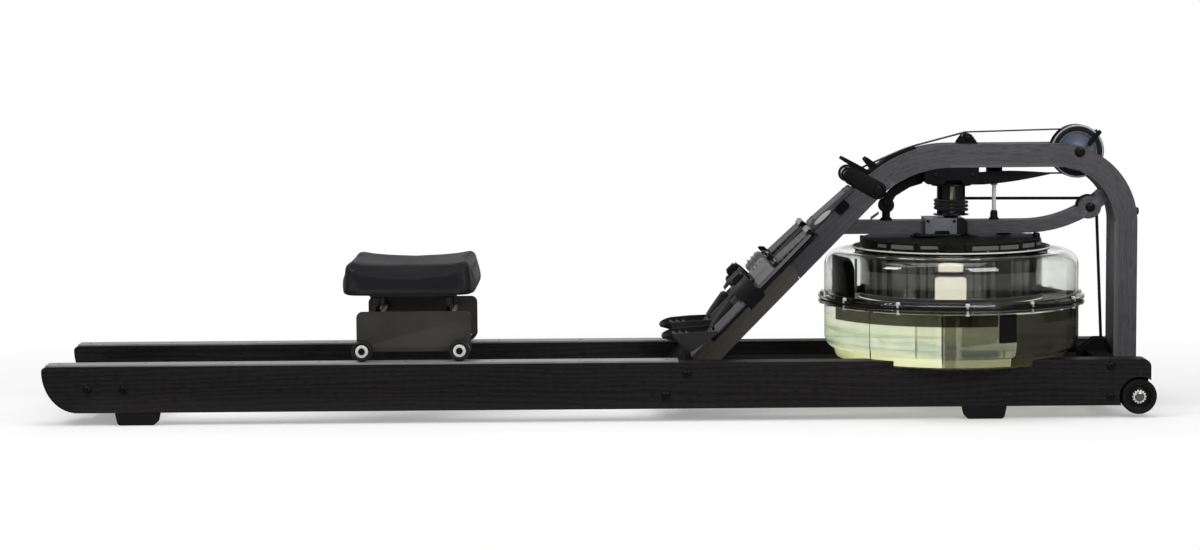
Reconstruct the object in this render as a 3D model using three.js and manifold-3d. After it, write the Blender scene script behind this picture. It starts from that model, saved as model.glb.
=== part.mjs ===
// Water rowing machine. A bent wooden arch stands between two wooden rails and spans a round
// water tank; a strap from the handle runs over the arch to a spool on the impeller's shaft.
// Millimetres. +X points from the seat to the tank, +Z up, and the origin lies on the floor
// below the middle of the machine. Pieces on the -Y side are called near, on the +Y side far.
import * as THREE from 'three';
import { mergeVertices } from 'three/addons/utils/BufferGeometryUtils.js';
import Module from 'manifold-3d';

const wasm = await Module();
wasm.setup();

// Whole machine and shared clearances
const overallLength = 2120;
const wheelOverhang = 12;
const seatGap = 0.3;
const runGap = 0.8;
const cutOverrun = 5;
const mergeTolerance = 0.0001;

// Side rails with their floor pads
const railHeight = 88;
const railThickness = 45;
const railSpacing = 290;
const railTailRun = 68;
const railTailRise = 80;
const railTopRound = 8;
const railNoseRound = 15;
const padHeight = 24;
const padTopLength = 82;
const padFootLength = 72;
const rearPadInset = 179;
const frontPadSetback = 315;

// Seat tracks on the rails
const trackThickness = 3.7;
const trackRearInset = 8;
const trackSetback = 898;

// Cross-members
const rearMemberInset = 121.5;
const rearMemberLength = 133;
const rearMemberDepth = 36;
const rearMemberZ = 69;
const footMemberReach = 87;
const footMemberDepth = 36;
const footMemberDrop = 12;
const frontMemberSetback = 77;
const frontMemberLength = 42;
const frontMemberBaseZ = 30;
const frontMemberTopClearance = 2;
const frontNotchHalfWidth = 16;
const frontNotchFloorZ = 50;
const bearerThickness = 25;

// Bolts
const boltRadius = 4;
const boltHeadRadius = 7;
const boltHeadHeight = 4;
const boltGrip = 10;
const rearBoltSpread = 69;
const footBoltInset = 12;
const footBoltSpread = 58;
const frontBoltLowZ = 41;
const frontBoltHighZ = 100;

// Arch
const beamThickness = 45;
const beamWidth = 86;
const beamTopZ = 515;
const slopeAngle = THREE.MathUtils.degToRad(45.5);
const slopeSetback = 798;
const rearBendRadius = 245;
const frontBendRadius = 155;
const uprightSetback = 1;
const beamFootZ = 30;
const footPieceReach = 255;

// Lower arm that steadies the shaft
const armWidth = 50;
const armThickness = 25;
const armBaseZ = 341;
const armBendSetback = 215;
const armBendRadius = 232;

// Transport wheels
const wheelRadius = 34;
const wheelWidth = 26;
const wheelAxisZ = 40;
const wheelPocketClearance = 4;
const wheelAxleRadius = 6;
const wheelInset = 1;
const wheelTreadRound = 4;
const wheelHeadHeight = 3;

// Top pulley and its strap
const topPulleySetback = 114;
const topPulleyZ = 499;
const topPulleyRadius = 52;
const topPulleyWidth = 30;
const topPulleyBedRadius = 42;
const topPulleyFlange = 1.6;
const topPulleyClearance = 6;
const pulleyPinRadius = 6;
const pinHeadHeight = 4;
const strapWidth = 25;
const strapThickness = 2;
const guideSetback = 329;
const guideLift = 12;
const guideRadius = 9;
const guideLength = 30;
const guidePinRadius = 3;
const guideCheek = 3;
const guideBaseLength = 40;
const guideBaseThickness = 2;

// Elastic cord and its two pulleys
const cordRadius = 3;
const cordPulleyRadius = 24;
const cordGrooveRadius = 13;
const cordPulleyWidth = 14;
const cordPinRadius = 4;
const armPulleySetback = 90;
const lowPulleyZ = 84;
const lowBracketTopZ = 133;
const lowBracketBaseZ = 55;
const lowBracketLength = 62;
const lowBracketCheek = 3;
const lowBracketShoulder = 22;

// Shaft, spool and impeller
const shaftSetback = 358;
const shaftRadius = 8;
const shaftBoreGap = 0.6;
const spoolHubRadius = 14;
const spoolHubHeight = 4;
const spoolFlange = 2.5;
const spoolLowFlangeRadius = 34.5;
const spoolHighFlangeRadius = 38.5;
const spoolDrumRadius = 27.5;
const spoolDrumHeight = 55;
const spoolCoreRadius = 18;
const strapLoops = 4;
const strapLoopGap = 0.6;
const cordLoops = 3;
const cordLoopGap = 1.2;
const cordLoopBase = 6;
const impellerRadius = 150;
const impellerHubRadius = 26;
const impellerBlades = 6;
const impellerBladeThickness = 5;
const impellerBladeHeight = 76;
const impellerFloorGap = 16;
const blockLength = 63;
const blockWall = 12;
const blockDrop = 1;
const blockCrown = 5;
const blockCutRadius = 17;
const blockCutDropShare = 1 / 3;
const hangerLength = 98;
const hangerWall = 3;
const hangerDrop = 32;
const hangerPlate = 3.5;
const shaftTopInset = 1;

// Stay rod and the brace post behind the spool
const stayReach = 84;
const stayRadius = 4;
const stayBootRadius = 8;
const stayBootHeight = 18;
const stayHeadLength = 30;
const stayHeadWidth = 18;
const stayHeadHeight = 32;
const postReach = 129;
const postRadius = 8;
const postHeadRadius = 17;
const postHeadWidth = 22;
const postHeadLift = 26;
const braceThickness = 2.4;
const braceWidth = 24;
const braceTwistShares = [0.2, 0.9];

// Water tank
const tankBaseZ = 98;
const tankFlare = 19;
const tankFootRound = 9;
const tankFootHeight = 20;
const tankRadius = 247;
const tankFlareHeight = 24;
const tankFlangeReach = 12;
const tankFlangeThickness = 5;
const tankSeamZ = 212;
const gasketThickness = 4;
const gasketInset = 3;
const tankShoulderZ = 309;
const tankShoulderRound = 45;
const tankWall = 4;
const tankMouthInset = 63;
const lidLap = 8;
const lidRimHeight = 7;
const lidCrownInset = 16;
const lidHubRadius = 34;
const lidSkirtGap = 7;
const lidSkirtDepth = 85;
const notchClearance = 3;
const waterLevelZ = 181;
const waterImpellerGap = 6;

// Handle and its rest
const handleHalfLength = 250;
const handleTubeRadius = 10;
const handleGripRadius = 17;
const handleGripStart = 58;
const handleStraightHalf = 40;
const handleRestShift = 457;
const handleLift = 27.6;
const handleDrop = 38;
const handleSweep = 12;
const handleClampRadius = 13;
const handleClampHalfWidth = 14;
const strapEndGap = 4;
const restTongue = 4;
const restTongueSweep = THREE.MathUtils.degToRad(30);
const restProngThickness = 5;
const restProngHeight = 60;
const restProngLean = 12;
const restProngInner = 15;
const restProngWidth = 8;
const restBumpHeight = 26;
const restBumpShift = 22;

// Foot rests on the slope
const plateBaseStart = 46;
const plateBaseEnd = 332;
const plateBaseThickness = 6;
const coverEnd = 444;
const coverLowHeight = 17;
const coverHighHeight = 9;
const plateInnerY = 50;
const plateWidth = 98;
const plateSoleHeight = 9;
const toeStart = 186;
const toeEnd = 226;
const toeLowHeight = 31;
const toeHighHeight = 35;
const sliderStart = 236;
const sliderHeight = 15.4;
const sliderEnd = 322;
const heelWall = 3;
const heelSideStart = -5;
const heelSideEnd = 62;
const heelSideLift = 10;
const heelTipShift = -8;
const heelTipHeight = 74;
const heelTopShift = 2;
const heelTopHeight = 78;
const heelShelfShift = 68;
const heelShelfHeight = 24;
const heelShelfThickness = 14;
const footStrapStart = 138;
const footStrapWidth = 40;
const footStrapHeight = 40;
const footStrapThickness = 3;
const footStrapRound = 20;

// Seat
const seatSetback = 1500;
const seatWheelBase = 186;
const seatWheelRadius = 20;
const seatWheelWidth = 20;
const seatWheelY = 168;
const seatAxleRadius = 4;
const seatPlateOverhang = 12;
const seatPlateLength = 219;
const seatPlateBaseZ = 132;
const seatPlateTopZ = 209;
const seatPlateThickness = 4;
const seatPlateRound = 12;
const seatPlateInset = 0.8;
const seatPostInset = 24;
const seatPostSpread = 139;
const seatPostRadius = 6;
const seatPostY = 96;
const seatTubeRadius = 9;
const seatTubeZ = 190;
const seatPanThickness = 5;
const seatPanMargin = 16;
const seatPadOverhang = 46;
const seatPadLength = 256;
const seatPadWidth = 330;
const seatPadBaseZ = 240;
const seatPadHeight = 58;
const seatPadEndRise = 18;
const seatPadCrown = 3;

// Derived places
const railInnerY = railSpacing / 2;
const railOuterY = railInnerY + railThickness;
const railBaseZ = padHeight;
const railTopZ = railBaseZ + railHeight;
const railRearX = -overallLength / 2;
const railFrontX = overallLength / 2 - wheelOverhang;
const rearPadX = railRearX + rearPadInset;
const frontPadX = railFrontX - frontPadSetback;
const trackFrontX = railFrontX - trackSetback;
const rearMemberX = railRearX + rearMemberInset;
const frontMemberX = railFrontX - frontMemberSetback;
const slopeUndersideX = railFrontX - slopeSetback;
const armBendX = railFrontX - armBendSetback;
const topPulleyX = railFrontX - topPulleySetback;
const guideX = railFrontX - guideSetback;
const armPulleyX = railFrontX - armPulleySetback;
const lowPulleyX = frontMemberX;
const shaftX = railFrontX - shaftSetback;
const stayX = shaftX + stayReach;
const postX = shaftX - postReach;
const seatRearWheelX = railFrontX - seatSetback;
const seatPlateRearX = seatRearWheelX - seatPlateOverhang;
const seatRearPostX = seatRearWheelX + seatPostInset;
const seatPadRearX = seatRearWheelX - seatPadOverhang;
const trackTopZ = railTopZ + seatGap + trackThickness;
const beamHalf = beamWidth / 2;
const beamUnderZ = beamTopZ - beamThickness;
const slopeCos = Math.cos(slopeAngle);
const slopeSin = Math.sin(slopeAngle);
const slopeDir = new THREE.Vector2(slopeCos, slopeSin);
const slopeNormal = new THREE.Vector2(-slopeSin, slopeCos);
const slopeOrigin = new THREE.Vector2(slopeUndersideX - beamThickness / slopeSin, railTopZ);
const rearBendZ = beamTopZ - rearBendRadius;
const rearBendX = slopeUndersideX
  + (slopeCos * (rearBendZ - railTopZ) + rearBendRadius - beamThickness) / slopeSin;
const uprightFrontX = railFrontX - uprightSetback;
const frontBendX = uprightFrontX - frontBendRadius;
const frontBendZ = beamTopZ - frontBendRadius;
const wheelX = overallLength / 2 - wheelRadius;
const wheelOuterY = railOuterY - wheelInset;
const armTopZ = armBaseZ + armThickness;
const armMidZ = armBaseZ + armThickness / 2;
const armPulleyTurn = Math.asin((armPulleyX - armBendX) / armBendRadius);
const armPulleyZ = armMidZ + armBendRadius * (1 - Math.cos(armPulleyTurn));
const cordRunRadius = cordGrooveRadius + seatGap + cordRadius;
const strapRunRadius = topPulleyBedRadius + seatGap + strapThickness / 2;
const guideZ = beamTopZ + guideLift;
const guideRunRadius = guideRadius + seatGap + strapThickness / 2;
const blockTopZ = armTopZ + seatGap + blockCrown;
const spoolBaseZ = blockTopZ + seatGap;
const drumBaseZ = spoolBaseZ + spoolHubHeight + spoolFlange;
const drumTopZ = drumBaseZ + spoolDrumHeight;
const strapBayZ = drumTopZ + spoolFlange;
const strapBayHeight = strapWidth + 2 * seatGap;
const spoolTopZ = strapBayZ + strapBayHeight + spoolFlange;
const strapSpoolZ = strapBayZ + strapBayHeight / 2;
const hangerTopZ = beamUnderZ - seatGap;
const hangerPlateZ = hangerTopZ - hangerPlate;
const shaftTopZ = hangerTopZ - shaftTopInset;
const seatFrontWheelX = seatRearWheelX + seatWheelBase;
const seatWheelZ = trackTopZ + seatGap + seatWheelRadius;
const tankFlangeTopZ = tankSeamZ + gasketThickness + 2 * seatGap + tankFlangeThickness;
const tankFloorZ = tankBaseZ + tankWall;
const tankBaseRadius = tankRadius - tankFlare;
const tankFlangeRadius = tankRadius + tankFlangeReach;
const tankMouthRadius = tankRadius - tankMouthInset;
const lidRadius = tankMouthRadius + lidLap;
const lidCrownRadius = lidRadius - lidCrownInset;
const lidSkirtRadius = tankMouthRadius - lidSkirtGap;
const lidTopZ = armBaseZ - blockDrop - 3 * seatGap - lidRimHeight;

// Colours, roughness and metalness of each finish
const finish = (colour, roughness, metalness = 0) =>
  new THREE.MeshStandardMaterial({ color: colour, roughness, metalness });
const woodBlack = finish(0x343338, 0.55);
const woodSmoke = finish(0x4b4a45, 0.6);
const trackGrey = finish(0xa9a7a5, 0.4);
const plasticBlack = finish(0x141414, 0.5);
const plasticGrey = finish(0x515154, 0.5);
const rubberBlack = finish(0x181818, 0.85);
const steelDark = finish(0x1c1c1e, 0.4, 0.6);
const steelGrey = finish(0x70757c, 0.35, 0.8);
const steelBright = finish(0xc9cacc, 0.2, 1);
const discSmoke = finish(0x8891a0, 0.25);
const tankSmoke = finish(0x8d9088, 0.15);
const tankDark = finish(0x2b2c2b, 0.3);
const waterTint = finish(0xc7d2ae, 0.1);
const webbing = finish(0x161616, 0.9);
const seatSkin = finish(0x2e2e31, 0.6);
const gripFoam = finish(0x1b1b1b, 0.9);

const machine = new THREE.Group();

function addPiece(name, geometry, material) {
  const mesh = new THREE.Mesh(geometry, material);
  mesh.name = name;
  machine.add(mesh);
  return mesh;
}

// Meshes that close exactly, with their faces pointing out
function closed(geometry) {
  const bare = geometry.clone();
  for (const attribute of Object.keys(bare.attributes)) {
    if (attribute !== 'position') bare.deleteAttribute(attribute);
  }
  const merged = mergeVertices(bare, mergeTolerance);
  const corner = (index) => new THREE.Vector3().fromBufferAttribute(merged.attributes.position, index);
  const kept = [];
  let volume = 0;
  for (let i = 0; i < merged.index.count; i += 3) {
    const [a, b, c] = [0, 1, 2].map((k) => merged.index.getX(i + k));
    if (a === b || b === c || a === c) continue;
    kept.push(a, b, c);
    volume += corner(a).dot(corner(b).cross(corner(c)));
  }
  if (volume < 0) kept.reverse();
  merged.setIndex(kept);
  merged.computeVertexNormals();
  return merged;
}

function toSolid(geometry) {
  const mesh = closed(geometry);
  return new wasm.Manifold(new wasm.Mesh({
    numProp: 3,
    vertProperties: new Float32Array(mesh.attributes.position.array),
    triVerts: new Uint32Array(mesh.index.array),
  }));
}

function toGeometry(solid) {
  const mesh = solid.getMesh();
  const geometry = new THREE.BufferGeometry();
  geometry.setAttribute('position', new THREE.BufferAttribute(new Float32Array(mesh.vertProperties), 3));
  geometry.setIndex(new THREE.BufferAttribute(new Uint32Array(mesh.triVerts), 1));
  geometry.computeVertexNormals();
  return geometry;
}

const joined = (geometries) =>
  toGeometry(geometries.map(toSolid).reduce((whole, next) => whole.add(next)));
const cutBy = (geometry, tools) =>
  toGeometry(tools.map(toSolid).reduce((whole, tool) => whole.subtract(tool), toSolid(geometry)));

// Basic shapes by their limits
function block(x0, x1, y0, y1, z0, z1) {
  const geometry = new THREE.BoxGeometry(x1 - x0, y1 - y0, z1 - z0);
  return geometry.translate((x0 + x1) / 2, (y0 + y1) / 2, (z0 + z1) / 2);
}

function rodY(x, z, radius, y0, y1, sides = 20) {
  const geometry = new THREE.CylinderGeometry(radius, radius, y1 - y0, sides);
  return geometry.translate(x, (y0 + y1) / 2, z);
}

function rodZ(x, y, radius, z0, z1, sides = 20) {
  const geometry = new THREE.CylinderGeometry(radius, radius, z1 - z0, sides);
  return geometry.rotateX(Math.PI / 2).translate(x, y, (z0 + z1) / 2);
}

const points2 = (pairs) => pairs.map(([a, b]) => new THREE.Vector2(a, b));

// A profile of [radius, place along the axis] pairs, turned about a Y or a Z axis
function turnedY(profile, x, z, sides) {
  return new THREE.LatheGeometry(points2(profile), sides).translate(x, 0, z);
}

function turnedZ(profile, x, y, sides) {
  return new THREE.LatheGeometry(points2(profile), sides).rotateX(Math.PI / 2).translate(x, y, 0);
}

// An outline in the XZ plane, as thick as the given stretch of Y
function slab(shape, y0, y1, curveSegments = 8) {
  const geometry = new THREE.ExtrudeGeometry(shape, { depth: y1 - y0, bevelEnabled: false, curveSegments });
  return geometry.rotateX(Math.PI / 2).translate(0, y1, 0);
}

function outline(pairs) {
  return new THREE.Shape(points2(pairs));
}

// Places on the slope: along it from the rails' top, and square off its upper face
function onSlope(along, off) {
  return slopeOrigin.clone().addScaledVector(slopeDir, along).addScaledVector(slopeNormal, off);
}

function slopeSlab(pairs, y0, y1) {
  return slab(new THREE.Shape(pairs.map(([along, off]) => onSlope(along, off))), y0, y1);
}

function slopeBlock(along0, along1, off0, off1, y0, y1) {
  return slopeSlab([[along0, off0], [along1, off0], [along1, off1], [along0, off1]], y0, y1);
}

const sides = [['near', -1], ['far', 1]];
const between = (side, inner, outer) => (side < 0 ? [-outer, -inner] : [inner, outer]);

// A section carried along stations, each with a place and the two axes of its section
function swept(stations, section) {
  const positions = [];
  const indices = [];
  const ring = section.length;
  for (const { place, across, up } of stations) {
    for (const [a, b] of section) {
      const corner = place.clone().addScaledVector(across, a).addScaledVector(up, b);
      positions.push(corner.x, corner.y, corner.z);
    }
  }
  for (let i = 0; i + 1 < stations.length; i += 1) {
    for (let k = 0; k < ring; k += 1) {
      const a = i * ring + k;
      const b = i * ring + ((k + 1) % ring);
      indices.push(a, b, b + ring, a, b + ring, a + ring);
    }
  }
  const last = (stations.length - 1) * ring;
  for (let k = 1; k + 1 < ring; k += 1) {
    indices.push(0, k + 1, k, last, last + k, last + k + 1);
  }
  const geometry = new THREE.BufferGeometry();
  geometry.setAttribute('position', new THREE.Float32BufferAttribute(positions, 3));
  geometry.setIndex(indices);
  return closed(geometry);
}

function bandSection(width, thickness) {
  const halfWidth = width / 2;
  const halfThickness = thickness / 2;
  return [[-halfWidth, -halfThickness], [halfWidth, -halfThickness],
    [halfWidth, halfThickness], [-halfWidth, halfThickness]];
}

function roundSection(radius, count) {
  return Array.from({ length: count }, (_, k) => {
    const turn = (2 * Math.PI * k) / count;
    return [radius * Math.cos(turn), radius * Math.sin(turn)];
  });
}

// Stations along a list of places, with the section's first axis given for each place
function stationsAlong(places, acrossAt) {
  return places.map((place, i) => {
    const before = places[Math.max(i - 1, 0)];
    const after = places[Math.min(i + 1, places.length - 1)];
    const forward = after.clone().sub(before).normalize();
    const across = acrossAt(i).clone();
    across.addScaledVector(forward, -across.dot(forward)).normalize();
    return { place, across, up: new THREE.Vector3().crossVectors(forward, across) };
  });
}

function arcPlaces(x, z, radius, from, to, steps) {
  return Array.from({ length: steps + 1 }, (_, k) => {
    const turn = from + ((to - from) * k) / steps;
    return new THREE.Vector3(x + radius * Math.cos(turn), 0, z + radius * Math.sin(turn));
  });
}

// Least distance between the surfaces of a winding's turns
function leastLoopGap(places, perLoop, size) {
  let least = Infinity;
  for (let i = 0; i < places.length; i += 1) {
    for (let j = i + Math.round(perLoop / 2); j < places.length; j += 1) {
      least = Math.min(least, places[i].distanceTo(places[j]) - size);
    }
  }
  return least;
}

// The arch's band, grown by a clearance where it cuts its neighbours
function archShape(grow) {
  const outerRear = rearBendRadius + grow;
  const innerRear = rearBendRadius - beamThickness - grow;
  const outerFront = frontBendRadius + grow;
  const innerFront = frontBendRadius - beamThickness - grow;
  const slopeStart = Math.PI / 2 + slopeAngle;
  const shape = new THREE.Shape();
  const lowUnder = onSlope(footPieceReach + seatGap - grow, -beamThickness - grow);
  const lowTop = onSlope(footPieceReach + seatGap - grow, grow);
  shape.moveTo(lowUnder.x, lowUnder.y);
  shape.absarc(rearBendX, rearBendZ, innerRear, slopeStart, Math.PI / 2, true);
  shape.absarc(frontBendX, frontBendZ, innerFront, Math.PI / 2, 0, true);
  shape.lineTo(frontBendX + innerFront, beamFootZ - grow);
  shape.lineTo(frontBendX + outerFront, beamFootZ - grow);
  shape.absarc(frontBendX, frontBendZ, outerFront, 0, Math.PI / 2, false);
  shape.absarc(rearBendX, rearBendZ, outerRear, Math.PI / 2, slopeStart, false);
  shape.lineTo(lowTop.x, lowTop.y);
  return shape;
}

const archSegments = 12;
const archKeepout = () =>
  slab(archShape(seatGap), -beamHalf - cutOverrun, beamHalf + cutOverrun, archSegments);

// Bolts through the rails into the cross-members: their places, holes and solids
const rearBolts = [-1, 1].map((end) =>
  new THREE.Vector2(rearMemberX + end * rearBoltSpread / 2, rearMemberZ));
const footBolts = [0, footBoltSpread].map((shift) =>
  onSlope(footBoltInset + shift - footMemberDrop - footMemberReach, 0));
const frontBolts = [frontBoltLowZ, frontBoltHighZ].map((z) => new THREE.Vector2(frontMemberX, z));

function boltHoles(places) {
  return places.flatMap((at) => sides.map(([, side]) => {
    const [y0, y1] = between(side, railInnerY - cutOverrun, railOuterY + cutOverrun);
    return rodY(at.x, at.y, boltRadius + seatGap, y0, y1, 10);
  }));
}

function bolts(places) {
  const headBase = railOuterY + seatGap;
  return places.flatMap((at) => sides.flatMap(([, side]) => [
    rodY(at.x, at.y, boltRadius, ...between(side, railInnerY - boltGrip, headBase + boltHeadHeight / 2), 10),
    rodY(at.x, at.y, boltHeadRadius, ...between(side, headBase, headBase + boltHeadHeight), 12),
  ]));
}

// Rails, tracks and floor pads
function railShape() {
  const shape = new THREE.Shape();
  shape.moveTo(railRearX + railTailRun, railBaseZ);
  shape.lineTo(railFrontX, railBaseZ);
  shape.lineTo(railFrontX, railTopZ - railNoseRound);
  shape.absarc(railFrontX - railNoseRound, railTopZ - railNoseRound, railNoseRound, 0, Math.PI / 2, false);
  shape.lineTo(railRearX + railTopRound, railTopZ);
  shape.absarc(railRearX + railTopRound, railTopZ - railTopRound, railTopRound, Math.PI / 2, Math.PI, false);
  shape.absellipse(railRearX + railTailRun, railBaseZ + railTailRise, railTailRun, railTailRise,
    Math.PI, 1.5 * Math.PI, false);
  return shape;
}

function addRails() {
  const bite = tankBaseRadius + notchClearance;
  const notch = () => rodZ(shaftX, 0, bite, tankBaseZ - seatGap, railTopZ + cutOverrun, 48);
  const pocketY = wheelOuterY - wheelWidth - runGap;
  const headY = wheelOuterY + seatGap;
  for (const [name, side] of sides) {
    const [y0, y1] = between(side, railInnerY, railOuterY);
    const pocket = rodY(wheelX, wheelAxisZ, wheelRadius + wheelPocketClearance,
      ...between(side, pocketY, railOuterY + cutOverrun), 28);
    const rail = cutBy(slab(railShape(), y0, y1, 6),
      [notch(), pocket, ...boltHoles([...rearBolts, ...footBolts, ...frontBolts])]);
    const axle = rodY(wheelX, wheelAxisZ, wheelAxleRadius,
      ...between(side, pocketY - cutOverrun, headY + wheelHeadHeight / 2), 16);
    const head = rodY(wheelX, wheelAxisZ, wheelAxleRadius + wheelHeadHeight,
      ...between(side, headY, headY + wheelHeadHeight), 16);
    addPiece(`rail_${name}`, joined([rail, axle, head]), woodBlack);
    const track = block(railRearX + trackRearInset, trackFrontX, y0, y1, railTopZ + seatGap, trackTopZ);
    addPiece(`track_${name}`, track, trackGrey);
  }
}

function addFloorPads() {
  const half = padTopLength / 2;
  const foot = padFootLength / 2;
  for (const [place, centre] of [['rear', rearPadX], ['front', frontPadX]]) {
    const shape = () => outline([[centre - foot, 0], [centre + foot, 0],
      [centre + half, padHeight - seatGap], [centre - half, padHeight - seatGap]]);
    for (const [name, side] of sides) {
      addPiece(`pad_${place}_${name}`, slab(shape(), ...between(side, railInnerY, railOuterY)), rubberBlack);
    }
  }
}

function addCrossMembers() {
  const reach = railInnerY - seatGap;
  const rear = block(rearMemberX - rearMemberLength / 2, rearMemberX + rearMemberLength / 2,
    -reach, reach, rearMemberZ - rearMemberDepth / 2, rearMemberZ + rearMemberDepth / 2);
  addPiece('rear_crossmember', joined([rear, ...bolts(rearBolts)]), woodBlack);
  const foot = slopeBlock(-footMemberDrop - footMemberReach, -footMemberDrop,
    -footMemberDepth / 2, footMemberDepth / 2, -reach, reach);
  addPiece('foot_crossmember', joined([foot, ...bolts(footBolts)]), woodBlack);
  const front = block(frontMemberX - frontMemberLength / 2, frontMemberX + frontMemberLength / 2,
    -reach, reach, frontMemberBaseZ, railTopZ - frontMemberTopClearance);
  const notch = block(frontMemberX - frontMemberLength, frontMemberX + frontMemberLength,
    -frontNotchHalfWidth, frontNotchHalfWidth, frontNotchFloorZ, railTopZ + cutOverrun);
  addPiece('front_crossmember', joined([cutBy(front, [notch]), ...bolts(frontBolts)]), woodBlack);
  const bearerTop = tankBaseZ - seatGap;
  const bearerBase = bearerTop - bearerThickness;
  const bearer = outline([
    [slopeUndersideX + (bearerBase - railTopZ) / Math.tan(slopeAngle) + 2 * seatGap, bearerBase],
    [frontMemberX - frontMemberLength / 2 - seatGap, bearerBase],
    [frontMemberX - frontMemberLength / 2 - seatGap, bearerTop],
    [slopeUndersideX + (bearerTop - railTopZ) / Math.tan(slopeAngle) + 2 * seatGap, bearerTop],
  ]);
  const slot = block(lowPulleyX - lowBracketLength / 2 - runGap, frontMemberX,
    -frontNotchHalfWidth, frontNotchHalfWidth, bearerBase - cutOverrun, bearerTop + cutOverrun);
  addPiece('centre_bearer', cutBy(slab(bearer, -beamHalf, beamHalf), [slot]), woodBlack);
}

// Arch: the long bent piece, and the foot piece that is scarfed to it and lapped to its cross-member
function addArch() {
  const slot = rodY(topPulleyX, topPulleyZ, topPulleyRadius + topPulleyClearance,
    -topPulleyWidth / 2 - runGap, topPulleyWidth / 2 + runGap, 32);
  const pin = rodY(topPulleyX, topPulleyZ, pulleyPinRadius + seatGap, -beamWidth, beamWidth, 16);
  const arch = cutBy(slab(archShape(0), -beamHalf, beamHalf, archSegments), [slot, pin]);
  addPiece('arch_beam', arch, woodBlack);
  const depth = railTopZ - beamFootZ;
  const underTip = onSlope(0, -beamThickness);
  const underFoot = (beamFootZ - underTip.y) / slopeSin;
  const piece = slopeSlab([[-depth / slopeSin, 0], [underFoot, -beamThickness],
    [footPieceReach, -beamThickness], [footPieceReach, 0]], -beamHalf, beamHalf);
  const lap = slopeBlock(-depth / slopeSin - cutOverrun, -footMemberDrop + seatGap,
    -footMemberDepth / 2 - seatGap, footMemberDepth,
    -beamHalf - cutOverrun, beamHalf + cutOverrun);
  addPiece('arch_foot', cutBy(piece, [lap]), woodSmoke);
}

function addShaftArm() {
  const startX = slopeUndersideX + (armMidZ - railTopZ) / Math.tan(slopeAngle)
    - beamThickness / slopeSin / 2;
  const bendZ = armMidZ + armBendRadius;
  const bend = new THREE.Vector2(frontBendX - armBendX, frontBendZ - bendZ);
  const bendMidRadius = frontBendRadius - beamThickness / 2;
  const endTurn = Math.atan2(bend.x, -bend.y) + Math.acos(
    (armBendRadius ** 2 + bend.lengthSq() - bendMidRadius ** 2) / (2 * armBendRadius * bend.length()));
  const low = armBendRadius + armThickness / 2;
  const high = armBendRadius - armThickness / 2;
  const from = -Math.PI / 2;
  const to = from + endTurn;
  const shape = new THREE.Shape();
  shape.moveTo(startX, armBaseZ);
  shape.absarc(armBendX, bendZ, low, from, to, false);
  shape.absarc(armBendX, bendZ, high, to, from, true);
  shape.lineTo(startX, armTopZ);
  const slot = rodY(armPulleyX, armPulleyZ, cordPulleyRadius + runGap * 4,
    -cordPulleyWidth / 2 - runGap, cordPulleyWidth / 2 + runGap, 28);
  const pin = rodY(armPulleyX, armPulleyZ, cordPinRadius + seatGap, -armWidth, armWidth, 12);
  const bore = rodZ(shaftX, 0, shaftRadius + shaftBoreGap, armBaseZ - cutOverrun, armTopZ + cutOverrun, 20);
  const arm = slab(shape, -armWidth / 2, armWidth / 2, 10);
  addPiece('shaft_arm', cutBy(arm, [archKeepout(), slot, pin, bore]), woodBlack);
}

// Pins of the pulleys in the arch and in the arm, with round heads outside the wood
function headedPin(x, z, radius, half) {
  const reach = half + seatGap + pinHeadHeight;
  const heads = [-reach, half + seatGap].map((y) =>
    rodY(x, z, radius + pinHeadHeight, y, y + pinHeadHeight, 14));
  return joined([rodY(x, z, radius, seatGap - reach, reach - seatGap, 14), ...heads]);
}

function addPulleyPins() {
  addPiece('top_pulley_pin', headedPin(topPulleyX, topPulleyZ, pulleyPinRadius, beamHalf), steelDark);
  addPiece('arm_pulley_pin', headedPin(armPulleyX, armPulleyZ, cordPinRadius, armWidth / 2), steelDark);
}

function addTransportWheels() {
  const inner = wheelOuterY - wheelWidth;
  const outer = wheelOuterY;
  const bore = wheelAxleRadius + seatGap;
  for (const [name, side] of sides) {
    const profile = [[bore, inner], [wheelRadius - wheelTreadRound, inner],
      [wheelRadius, inner + wheelTreadRound], [wheelRadius, outer - wheelTreadRound],
      [wheelRadius - wheelTreadRound, outer], [bore, outer], [bore, inner]];
    const placed = profile.map(([radius, y]) => [radius, y * side]);
    addPiece(`transport_wheel_${name}`, closed(turnedY(placed, wheelX, wheelAxisZ, 24)), rubberBlack);
  }
}

// Pulleys
function grooved(radius, bed, width, flange, bore) {
  const half = width / 2;
  return [[bore, -half], [radius, -half], [radius, -half + flange], [bed, -half + flange],
    [bed, half - flange], [radius, half - flange], [radius, half], [bore, half], [bore, -half]];
}

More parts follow.
